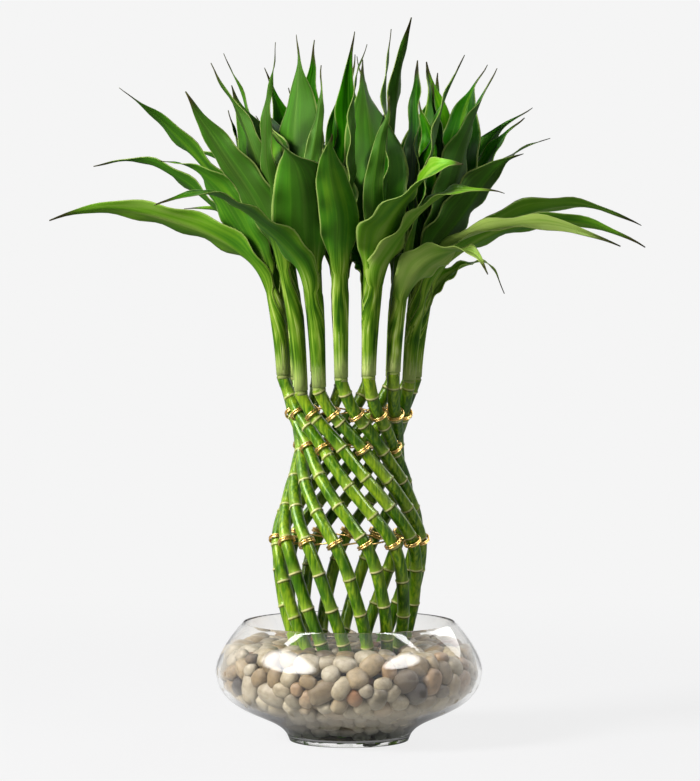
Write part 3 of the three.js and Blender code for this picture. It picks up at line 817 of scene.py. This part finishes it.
def tangent(guides, t):
    low = np.clip(np.asarray(t, dtype=float) - NEARBY, 0, 1)
    high = np.clip(np.asarray(t, dtype=float) + NEARBY, 0, 1)
    return unit(bezier(guides, high) - bezier(guides, low))


def stem_guides(k):
    foot = shoot_foot(k)
    _, radius, turn = weave(share_at(foot))
    angle = phase(k) + turn
    return [
        on_ring(radius, angle, foot),
        on_ring(radius + STEM["lean"], angle, lerp(foot, STEM["top"], STEM["bendAt"])),
        on_ring(STEM["topRing"], angle, STEM["top"]),
    ]


stems = [stem_guides(k) for k in range(CANES)]


def make_leaf(k, slot, tip, width, arch, roll, facing=0):
    stem = stems[k]
    reach = tip - bezier(stem, 1)
    climb = math.atan2(reach[2], math.hypot(reach[0], reach[1])) / (math.pi / 2)
    root_at = min(max(lerp(SPRING["lying"], SPRING["upright"], climb), SPRING["lowest"]), SPRING["highest"])
    root = bezier(stem, root_at)
    away = np.array([tip[0] - root[0], tip[1] - root[1], 0.0]) + on_ring(SPRING["outward"], phase(k), 0)
    away[1] -= facing * math.copysign(1, math.cos(math.radians(phase(k))))
    away = unit(away)
    root = root + away * SPRING["out"]
    share = lerp(SPRING["lift"], SPRING["archedLift"], arch / SPRING["fullArch"])
    second = root + tangent(stem, root_at) * share * np.linalg.norm(tip - root) + away * SPRING["bow"]
    third = lerp(second, tip, SPRING["bendAt"]) + UP * arch
    return {
        "path": [root, second, third, tip], "side": np.cross(UP, away), "away": away, "width": width,
        "roll": math.radians(roll), "phase": 6.28 * draw(k, slot + 20), "rootAt": root_at, "shoot": k,
    }


def ruled_leaf(k, slot):
    angle = phase(k)
    inward = math.cos(math.radians(angle)) > RULED["frontShare"]
    spread = (1 if slot % 2 else -1) * draw_in(RULED["spread"], k, slot + 40)
    heading = (angle + 180 if inward else angle) + spread
    climb = math.radians(RULED["inwardClimb" if inward else "outwardClimb"][slot])
    length = draw_in(RULED["length"], k, slot + 60)
    tip = on_ring(length * math.cos(climb), heading, length * math.sin(climb))
    tip[0] *= RULED["narrow"]
    tip = tip + bezier(stems[k], RULED["springAt"])
    arch = 0 if inward else RULED["arch"] * (1 - math.degrees(climb) / 90)
    return tip, draw_in(RULED["width"], k, slot + 70), arch, draw_in(RULED["roll"], k, slot + 80)


def taper(t):
    return t ** LEAF["baseTaper"] * (1 - t) ** LEAF["tipTaper"]


WIDEST = taper(LEAF["baseTaper"] / (LEAF["baseTaper"] + LEAF["tipTaper"]))


def blade_axes(leaf, t):
    """The middle of the blade, the way across it and the way that it faces, at each t."""
    at = bezier(leaf["path"], t)
    along = tangent(leaf["path"], t)
    side = unit(leaf["side"] - along * (along @ leaf["side"])[..., None])
    face = np.cross(along, side)
    turn = (leaf["roll"] * smooth(t, 0.1, 0.5))[..., None]
    return at, side * np.cos(turn) + face * np.sin(turn), face * np.cos(turn) - side * np.sin(turn)


def blade_half(leaf, t):
    full = taper(np.clip(t, 0, 1)) / WIDEST
    return LEAF["sheath"] * (1 - t) ** 2 + 0.5 * leaf["width"] * full + LEAF["tipHalf"] * t, full


def swing_of(leaf, t, u):
    """Where each point stands in the wave of the leaf's edge. The two halves wave apart."""
    return leaf["phase"] + LEAF["waveRate"] * t[:, None] + (u > 0)[None] * LEAF["waveShift"]


def sheet(leaf, t, u):
    """Points of the blade as the placing rule sees it."""
    at, across, face = blade_axes(leaf, t)
    half, full = blade_half(leaf, t)
    ripple = LEAF["wave"] * full[:, None] * np.sin(swing_of(leaf, t, u))
    rise = np.abs(u)[None] * (half[:, None] * math.tan(math.radians(LEAF["fold"])) + ripple)
    wide = u[None] * half[:, None]
    return at[:, None] + across[:, None] * wide[..., None] + face[:, None] * rise[..., None]


taken = np.full(ROOM["cells"], -1, dtype=np.int8)
SAMPLE_T = np.arange(SAMPLE["first"], SAMPLE["along"] + 1) / SAMPLE["along"]
SAMPLE_U = np.arange(-SAMPLE["across"], SAMPLE["across"] + 1) / SAMPLE["across"]


def cells(points):
    """The cell of the counting room that each point is in."""
    return np.floor(points.reshape(-1, 3) / ROOM["cell"] + 0.5).astype(int) + ROOM["origin"]


def take(points, k):
    near = np.stack(np.meshgrid([-1, 0, 1], [-1, 0, 1], [-1, 0, 1]), -1).reshape(-1, 3)
    spots = (cells(points)[:, None] + near[None]).reshape(-1, 3)
    owners = taken[tuple(spots.T)]
    free = spots[owners < 0]
    taken[tuple(free.T)] = k


def clashes(points, k):
    owners = taken[tuple(cells(points).T)].reshape(len(SAMPLE_T), -1)
    others = int(((owners >= 0) & (owners != k)).sum())
    own = int((owners[SAMPLE_T > SAMPLE["ownFrom"]] == k).sum())
    return others, own


def settle(k, slot, lie, ruled):
    """The first lie that keeps clear of what is there, or else the clearest."""
    tip, width, arch, roll = lie
    pivot = bezier(stems[k], TRIES["pivotAt"])
    best = None
    for trial in RULED_ROUNDS if ruled else SEEN_ROUNDS:
        for i in range(TRIES["steps"]):
            step = math.ceil(i / 2) * (1 if i % 2 else -1)
            if ruled:
                turn = math.radians(TRIES["turn"] * step)
                arm = tip - pivot
                moved = np.array([
                    arm[0] * math.cos(turn) - arm[1] * math.sin(turn),
                    arm[0] * math.sin(turn) + arm[1] * math.cos(turn), arm[2],
                ]) * trial[0] + pivot + UP * trial[1]
                leaf = make_leaf(k, slot, moved, width, arch, roll)
            else:
                moved = tip + np.array([0, TRIES["shift"] * step, 0])
                leaf = make_leaf(k, slot, moved, width, arch, roll + trial, SPRING["facing"])
            points = sheet(leaf, SAMPLE_T, SAMPLE_U)
            others, own = clashes(points, k)
            cost = 5 * others + own
            if best is None or cost < best[0]:
                best = (cost, leaf, points, others, own)
            if not best[0]:
                break
        if not best[0]:
            break
    if ruled and (best[3] > MOST_CLASHES["others"] or best[4] > MOST_CLASHES["own"]):
        return []
    take(best[2], k)
    return [best[1]]


for k, stem in enumerate(stems):
    take(bezier(stem, np.linspace(0, 1, 41)), k)
leaves = [[] for _ in range(CANES)]
for slot in range(LEAF["perShoot"]):
    for k in range(CANES):
        if slot < len(SEEN[k]):
            x, y, z, *rest = SEEN[k][slot]
            leaves[k] += settle(k, slot, (np.array([x, y, z], dtype=float), *rest), False)
for slot in range(1, LEAF["perShoot"]):
    for k in range(CANES):
        if slot >= len(SEEN[k]):
            leaves[k] += settle(k, slot, ruled_leaf(k, slot), True)
print(sum(map(len, leaves)), "leaves placed by the shared rule:", [len(group) for group in leaves])

# %% [markdown]
# Leaves that are still young stand upright in the heart of each shoot: three short ones, and two that are
# tall and narrow and give the head its thin points. They follow the same rule with steeper climbs, and
# are left out where they would cross the others.

# %%
# Young leaves in the heart of each shoot
YOUNG = {"climbs": [84, 74, 63], "length": [62, 112], "width": [13, 22]}
TALL = {"climbs": [85, 77], "length": [120, 176], "width": [8, 13]}
HEART = {"springAt": 0.92, "roll": [-14, 14]}
for n, climb in enumerate(YOUNG["climbs"] + TALL["climbs"]):
    for k in range(CANES):
        slot = LEAF["perShoot"] + n
        heading = phase(k) + 360 * draw(k, slot + 40)
        kind = YOUNG if n < len(YOUNG["climbs"]) else TALL
        length = draw_in(kind["length"], k, slot + 60)
        rise = math.radians(climb)
        tip = on_ring(length * math.cos(rise), heading, length * math.sin(rise))
        tip = tip + bezier(stems[k], HEART["springAt"])
        lie = (tip, draw_in(kind["width"], k, slot + 70), 0, draw_in(HEART["roll"], k, slot + 80))
        leaves[k] += settle(k, slot, lie, True)
print(sum(map(len, leaves)), "leaves in all")

# %% [markdown]
# A blade is half a millimetre thick. Its middle is a shallow groove, its two halves rise to either side,
# its edges ripple, and its tip curls over. Below the blade the same sheet closes round the stem as the
# sheath. One grid of points carries both: row by row the cross-section goes from an arc round the stem
# to an open channel. The lowest leaf's sheath starts near the foot of the stem and covers the others.

# %%
# The sheet of one leaf
FINE = {"along": 36, "sheathRows": 10, "across": 12, "thick": 0.55}
SHEATH = {
    "clear": 0.3, "layer": 0.42, "foot": 0.03, "step": 0.035, "closed": 3.05, "fullness": 1.25,
    "mostOpen": 1.9,
}
LOOSE = {
    "sway": 4.2, "swayRate": 5.2, "ripple": 2.2, "rippleRate": 2.6, "twist": 70, "curlFrom": 0.70,
    "curl": 13.0, "droop": 5.0,
}
GROOVE = {"depth": 0.35, "width": 0.09, "fullAt": 8}
STALK = {
    "foot": 4.8, "top": 6.4, "flare": 1.6, "collar": 0.7, "collarAt": 0.008, "collarWidth": 0.010,
    "roundFrom": 0.93, "roundOver": 0.075,
}
DRAWN_OUT = {"from": 0.66, "to": 0.93, "least": 0.30, "most": 0.80}


def stem_radius(t):
    return lerp(STALK["foot"], STALK["top"], np.asarray(t) ** STALK["flare"])


def girth_at(t, layer):
    """How far from the stem's middle a sheath lies. The layers part above the foot of the stem."""
    return stem_radius(t) + SHEATH["clear"] + SHEATH["layer"] * layer * (0.1 + 0.9 * smooth(t, 0.05, 0.85))


def leaf_grid(leaf, layer, foot):
    """Middle surface of a leaf: rows from the sheath's foot to the tip, columns across."""
    u = np.linspace(-1, 1, FINE["across"] + 1)
    t = np.linspace(0, 1, FINE["along"] + 1) ** 1.08
    stem = stems[leaf["shoot"]]
    root_at = leaf["rootAt"]
    ring = float(girth_at(root_at, layer))
    chance = [draw(leaf["phase"] * 9, n) - 0.5 for n in range(5)]
    at, across, face = blade_axes(leaf, t)
    at = at + leaf["away"] * ((ring - SPRING["out"]) * (1 - smooth(t, 0.0, 0.22)))[:, None]
    sway = LOOSE["sway"] * np.sin(LOOSE["swayRate"] * t + leaf["phase"])
    sway = sway * smooth(t, 0.15, 0.5) * (1 - smooth(t, 0.85, 1.0))
    at = at + across * sway[:, None]
    curl = LOOSE["curl"] * smooth(t, LOOSE["curlFrom"], 1.12) * 2
    at = at + across * (curl * chance[0])[:, None] - face * (curl * abs(chance[1]))[:, None]
    at[:, 2] -= LOOSE["droop"] * smooth(t, LOOSE["curlFrom"], 1.0) * (0.6 + chance[2])
    twist = np.radians(LOOSE["twist"]) * 2 * chance[3] * smooth(t, 0.45, 1.0)
    cos, sin = np.cos(twist)[:, None], np.sin(twist)[:, None]
    across, face = across * cos + face * sin, face * cos - across * sin
    half, full = blade_half(leaf, t)
    thinner = lerp(DRAWN_OUT["least"], DRAWN_OUT["most"], chance[4] + 0.5)
    half = half * (1 - thinner * smooth(t, DRAWN_OUT["from"], DRAWN_OUT["to"]))
    swing = swing_of(leaf, t, u)
    ripple = LEAF["wave"] * np.sin(swing) + LOOSE["ripple"] * np.sin(
        LOOSE["rippleRate"] * swing + 9 * chance[4])
    ripple = ripple * full[:, None]
    bend = np.abs(u)[None] ** 1.3
    rise = bend * (half[:, None] * math.tan(math.radians(LEAF["fold"]))) + np.abs(u)[None] ** 2 * ripple
    groove = -GROOVE["depth"] * np.exp(-(u / GROOVE["width"]) ** 2)[None]
    rise = rise + groove * np.clip(half / GROOVE["fullAt"], 0, 1)[:, None]
    wrap = 1 - smooth(t, 0.0, 0.3)
    spread = np.minimum(half[:, None] * SHEATH["fullness"] / ring, SHEATH["mostOpen"]) * u[None]
    wide = lerp(u[None] * half[:, None], ring * np.sin(spread), wrap[:, None])
    rise = lerp(rise, ring * (1 - np.cos(spread)), wrap[:, None])
    blade = at[:, None] + across[:, None] * wide[..., None] + face[:, None] * rise[..., None]
    down = np.linspace(1, 0, FINE["sheathRows"] + 1)[:-1]
    foot_at = root_at - (root_at - foot) * down
    core = bezier(stem, foot_at)
    along = tangent(stem, foot_at)
    side = unit(leaf["side"] - along * (along @ leaf["side"])[:, None])
    inward = np.cross(along, side)
    girth = girth_at(foot_at, layer)
    first = min(float(half[0]) * SHEATH["fullness"] / ring, SHEATH["mostOpen"])
    angle = lerp(first, SHEATH["closed"], smooth(down, 0, 0.62))[:, None] * u[None]
    tube = core[:, None] + side[:, None] * (girth[:, None] * np.sin(angle))[..., None]
    tube = tube - inward[:, None] * (girth[:, None] * np.cos(angle))[..., None]
    grid = np.concatenate([tube, blade])
    run = np.concatenate([-down, t])
    return grid, run, u


def two_faced(grid, thick):
    """Points and faces of a thin closed sheet about a grid of middle points."""
    rows, columns = grid.shape[:2]
    along = np.gradient(grid, axis=0)
    across = np.gradient(grid, axis=1)
    normal = unit(np.cross(along, across) + 1e-9)
    half = normal * thick / 2
    points = np.concatenate([(grid + half).reshape(-1, 3), (grid - half).reshape(-1, 3)])
    index = np.arange(rows * columns).reshape(rows, columns)
    front = quads(index)
    edge = np.concatenate([index[0, :], index[1:, -1], index[-1, -2::-1], index[-2:0:-1, 0]])
    onward = np.roll(edge, -1)
    rim = np.stack([onward + rows * columns, edge + rows * columns, edge, onward], -1)
    return points, np.concatenate([front[:, ::-1], front + rows * columns, rim])


grid, run, u = leaf_grid(leaves[4][0], 0, SHEATH["foot"])
print("a leaf has", 2 * grid.shape[0] * grid.shape[1], "points")

# %% [markdown]
# The upper side of a leaf is waxy and deep green, with a tone of its own. Leaves that lie flat are
# painted paler, up to a whitish painted sheen, and upright ones darker, as painted light and shade.
# Fine veins and broader bands of tone run along it. Its edge is a thin pale line, a painted
# highlight, its tip is dry and brown, its underside is duller, and the sheath is streaked and pale
# at its foot. A little light passes through.

# %%
# Leaf finish
waxy = Finish("leaf_skin", **{"Specular IOR Level": 0.17, "Specular Tint": (0.55, 1.0, 0.3, 1)})
across, along, tone, upper, collar = map(waxy.attribute, ("across", "along", "tone", "upper", "collar"))
lines = waxy.get("ShaderNodeCombineXYZ", {0: across * 9 + tone * 57, 1: along * 1.3})
veins = waxy.noise(1.0, lines, 2, 0.6)
lines = waxy.get("ShaderNodeCombineXYZ", {0: across * 2.2 + tone * 91, 1: along * 2.4})
bands = waxy.noise(1.0, lines, 1, 0.5)
clouds = waxy.noise(26, None, 3)
# The tone attribute holds each leaf's random tone and its painted light: flat-lying leaves are painted paler,
# up to a whitish painted sheen, and upright ones darker, as painted shade.
colour = waxy.colours(tone * 0.58 + clouds * 0.14 + bands * 0.56 + veins * 0.18 - 0.17, [
    (0.28, (0.003, 0.028, 0.0003)), (0.41, (0.008, 0.072, 0.0005)), (0.55, (0.022, 0.170, 0.0010)),
    (0.70, (0.140, 0.350, 0.0080)), (0.88, (0.400, 0.550, 0.1200)),
])
colour = waxy.mix(veins.ramp(0.52, 0.70) * 0.3, colour, (0.110, 0.270, 0.012))
under_colour = waxy.mix(0.4, colour, (0.070, 0.145, 0.018))
foot_colour = waxy.colours(veins * 0.45 + bands * 0.55, [
    (0.36, (0.012, 0.055, 0.001)), (0.48, (0.075, 0.180, 0.006)), (0.57, (0.230, 0.360, 0.035)),
    (0.68, (0.620, 0.700, 0.270)),
])
colour = waxy.cover(
    waxy.mix(upper, under_colour, colour),
    (across.size().ramp(0.02, 0.09, 0.18, 0.0), (0.115, 0.220, 0.030)),
    (along.ramp(0.0, 0.24, 1.0, 0.0) * 0.92, foot_colour),
    # Painted highlight: a pale line along the edge of every blade, where the edges catch the light
    (across.size().ramp(0.91, 0.98) * 0.6, (0.400, 0.500, 0.140)),
    (along.ramp(-1.0, -0.72, 0.50, 0.0), (0.560, 0.640, 0.230)),
    ((along + 0.06 * veins).ramp(0.90, 0.985), (0.040, 0.034, 0.010)),
    (collar, (0.420, 0.430, 0.170)),
)
waxy.feed("Base Color", colour)
waxy.feed("Roughness", 0.24 + 0.14 * veins + 0.2 * (1 - upper))
waxy.bump(veins, 0.0008, 0.16)
glow = waxy.get("ShaderNodeBsdfTranslucent", {0: colour})
both = waxy.get("ShaderNodeMixShader", {0: 0.2, 1: Value(waxy, waxy.shader.outputs[0]), 2: glow})
waxy.link(both, waxy.out.inputs[0])
print("leaf finish has", len(waxy.tree.nodes), "nodes")

# %% [markdown]
# The stem inside the sheaths is a plain tapering tube that starts over the cane's cut top with a pale
# swollen collar.


# %%
# Stems and shoots
def stem_tube(k, sides=14, rows=26):
    t = np.linspace(0, 1, rows + 1) ** 1.3
    at = bezier(stems[k], t)
    along = tangent(stems[k], t)
    across = unit(np.cross(UP, along))
    other = np.cross(along, across)
    collar = np.exp(-((t - STALK["collarAt"]) / STALK["collarWidth"]) ** 2)
    radius = stem_radius(t) + STALK["collar"] * collar
    past = np.maximum(t - STALK["roundFrom"], 0)
    radius = radius * np.sqrt(np.clip(1 - (past / STALK["roundOver"]) ** 2, 0.02, 1))
    angle = np.arange(sides) * 2 * math.pi / sides
    ring = across[:, None] * np.cos(angle)[None, :, None] + other[:, None] * np.sin(angle)[None, :, None]
    points = (at[:, None] + ring * radius[:, None, None]).reshape(-1, 3)
    index = closed_rows(rows + 1, sides)
    faces = quads(index).tolist() + [index[0, -2::-1].tolist(), index[-1, :-1].tolist()]
    return points, faces, np.tile(np.cos(angle) * 0.5, rows + 1), np.repeat(collar, sides)


low, high = np.array(cad_box) / MM
for k in range(CANES):
    group = sorted(leaves[k], key=lambda leaf: leaf["rootAt"])
    points, faces, round_it, collar_here = stem_tube(k)
    none = np.zeros(len(points))
    all_points = [points]
    all_faces = [faces]
    marks = {
        "across": [round_it], "along": [none], "tone": [none + 0.5], "upper": [none + 1],
        "collar": [collar_here],
    }
    count = len(points)
    for n, leaf in enumerate(group):
        foot = SHEATH["foot"] + SHEATH["step"] * n
        grid, rows, u = leaf_grid(leaf, len(group) - 1 - n, foot)
        points, faces = two_faced(grid, FINE["thick"])
        points = np.clip(points, low + 0.2, high - 0.2)
        size = grid.shape[0] * grid.shape[1]
        all_points.append(points)
        all_faces.append((faces + count).tolist())
        count += len(points)
        # A leaf's tone is partly random and partly painted light: the flatter it lies, the paler it is
        # painted, as if lit from above, and upright leaves come out darker, as painted shade.
        lying = 1 - float(unit(leaf["path"][3] - leaf["path"][0])[2])
        tone_and_painted_light = 0.02 + 0.50 * draw(k * 7 + n, 3) + 0.82 * min(1.0, lying)
        marks["across"].append(np.tile(np.tile(u, grid.shape[0]), 2))
        marks["along"].append(np.tile(np.repeat(rows, grid.shape[1]), 2))
        marks["tone"].append(np.full(2 * size, tone_and_painted_light))
        marks["upper"].append(np.concatenate([np.ones(size), np.zeros(size)]))
        marks["collar"].append(np.zeros(2 * size))
    name = f"shoot_{k + 1:02d}_leaves"
    shoot = build(name, np.concatenate(all_points), sum(all_faces, []), waxy.material, marks)
    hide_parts(f"shoot_{k + 1:02d}")
    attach(shoot, "root")
print("a shoot has", len(shoot.data.polygons), "faces")

# %% [markdown]
# The studio: a pale floor that melts into a pale background, a large soft lamp at the left with three
# weak ones that lift the dark sides, and four white cards that only show as reflections in the glass.
# The floor is partly lit and partly glows, so that it is as pale as the background and still takes a
# faint shadow. What the camera sees of both is paler than the light that they give to things, and glossy
# leaves mirror a pale backdrop behind the plant. Light may bend through the glass on its way to the
# stones, or they would be black from below.

# %%
# Floor and background
PALE = 0.913
AMBIENT = {"world": 0.08, "floor": 0.26, "backdrop": 0.8}
FLOOR = {"radius": 40000, "sides": 96}


def ray(nodes, label):
    return nodes.get("ShaderNodeLightPath", output=label)


def pale_to_camera(nodes):
    """One for rays that the camera sees, also through or off glass, and zero for the light on things."""
    seen = ray(nodes, "Is Camera Ray")
    for label in ("Is Singular Ray", "Transmission Depth"):
        seen = seen.math("MAXIMUM", ray(nodes, label).above(0.5))
    return seen * (1 - ray(nodes, "Diffuse Depth").above(0.5))


ground = Finish("studio_floor", **{"Roughness": 0.8, "Specular IOR Level": 0.0, "Emission Strength": 1.0})
distance = ground.vector("LENGTH", ground.place(), output="Value")
far_off = distance.ramp(0.35, 1.2)
ground.feed("Base Color", ground.mix(far_off, (0.06, 0.06, 0.064), (0, 0, 0)))
own_light = ground.mix(far_off, (0.83, 0.83, 0.83), (PALE, PALE, PALE))
glow_on_things = distance.ramp(0.12, 0.50, 0.80, AMBIENT["floor"])
shown = ground.mix(pale_to_camera(ground), glow_on_things, (1, 1, 1))
# Painted shadow: within 16 cm of the bowl's middle, the floor is painted darker where it is seen off or
# through the glass, for the shade under the bowl
mirrored = ray(ground, "Is Singular Ray") * (1 - ray(ground, "Is Camera Ray"))
shown = ground.mix(mirrored * distance.ramp(0.05, 0.16, 0.85, 0.0), shown, (0, 0, 0))
ground.feed("Emission Color", ground.mix(1.0, own_light, shown, "MULTIPLY"))
turns = np.linspace(0, 2 * math.pi, FLOOR["sides"], endpoint=False)
disc = np.stack([np.sin(turns), np.cos(turns), 0 * turns], 1) * FLOOR["radius"]
floor = build("floor", disc, [list(range(FLOOR["sides"]))[::-1]], ground.material)
world = bpy.data.worlds.new("studio")
bpy.context.scene.world = world
world.use_nodes = True
air = Nodes(world.node_tree)
air.tree.nodes.clear()
backdrop = air.part(air.get("ShaderNodeTexCoord", output="Generated"), "Y").ramp(0.0, 0.5)
sheen = ray(air, "Is Glossy Ray") * backdrop * AMBIENT["backdrop"]
strength = sheen.math("MAXIMUM", pale_to_camera(air) * PALE).math("MAXIMUM", AMBIENT["world"])
background = air.get("ShaderNodeBackground", {0: (1, 1, 1, 1), 1: strength})
air.node("ShaderNodeOutputWorld", {0: background})
print("the background is", PALE, "of white")


# %%
# Lamps and reflection cards
def aimed(name, data, place, aim):
    """An object that faces its aim with its -Z side."""
    body = put(name, data)
    ahead = unit(np.array(place, dtype=float) - np.array(aim, dtype=float))
    across = unit(np.cross(UP, ahead))
    axes = np.stack([across, np.cross(ahead, across), ahead], 1)
    body.matrix_world = Matrix.Translation(place) @ Matrix(axes.tolist()).to_4x4()
    body.visible_camera = False
    body.visible_transmission = False
    body.visible_glossy = name not in ("key", "front")
    return body


def lamp(name, place, aim, size, power, colour=(1, 1, 1)):
    light = bpy.data.lights.new(name, "AREA")
    light.shape = "RECTANGLE"
    light.size, light.size_y = size
    light.energy = power
    light.color = colour
    return aimed(name, light, place, aim)


def card(name, place, aim, size, strength):
    """A card that glows at its middle and fades out at its edge, seen only in reflections."""
    finish = Finish(name, **{
        "Base Color": (0, 0, 0, 1), "Specular IOR Level": 0.0, "Emission Strength": strength,
    })
    where = finish.vector("LENGTH", finish.place(), output="Value")
    finish.feed("Emission Color", finish.mix(where.ramp(0.62, 1.0, 1.0, 0.0), (0, 0, 0), (1, 1, 1)))
    mesh = bpy.data.meshes.new(name)
    mesh.from_pydata([(-1, -1, 0), (1, -1, 0), (1, 1, 0), (-1, 1, 0)], [], [(0, 1, 2, 3)])
    mesh.materials.append(finish.material)
    body = aimed(name, mesh, place, aim)
    body.scale = (size[0] / 2, size[1] / 2, 1)
    body.visible_diffuse = False
    body.visible_shadow = False


lamp("key", (-2.0, -1.3, 1.5), (0, 0, 0.3), (0.9, 0.9), 150, (1.0, 0.985, 0.95))
lamp("fill", (1.8, -1.2, 0.9), (0, 0, 0.3), (1.2, 1.2), 6)
lamp("front", (0.3, -1.9, 0.3), (0, 0, 0.2), (0.6, 0.6), 4)
lamp("back", (1.4, 1.4, 1.3), (0, 0, 0.3), (1.0, 1.0), 14)
card("card_left", (-0.81, -0.43, 0.77), (-0.05, -0.09, 0.07), (1.25, 0.55), 24)
card("card_right", (0.71, -0.48, 0.85), (0.04, -0.09, 0.07), (0.80, 0.34), 24)
card("card_high_left", (-0.66, -0.07, 1.22), (-0.04, -0.08, 0.09), (0.15, 0.9), 24)
card("card_high_right", (0.65, -0.08, 1.23), (0.03, -0.08, 0.09), (0.15, 0.9), 24)
scene = bpy.context.scene
scene.view_settings.view_transform = "Standard"
scene.cycles.use_denoising = True
scene.cycles.caustics_reflective = False
scene.cycles.caustics_refractive = True
scene.cycles.max_bounces = 20
scene.cycles.transmission_bounces = 16
scene.cycles.transparent_max_bounces = 8
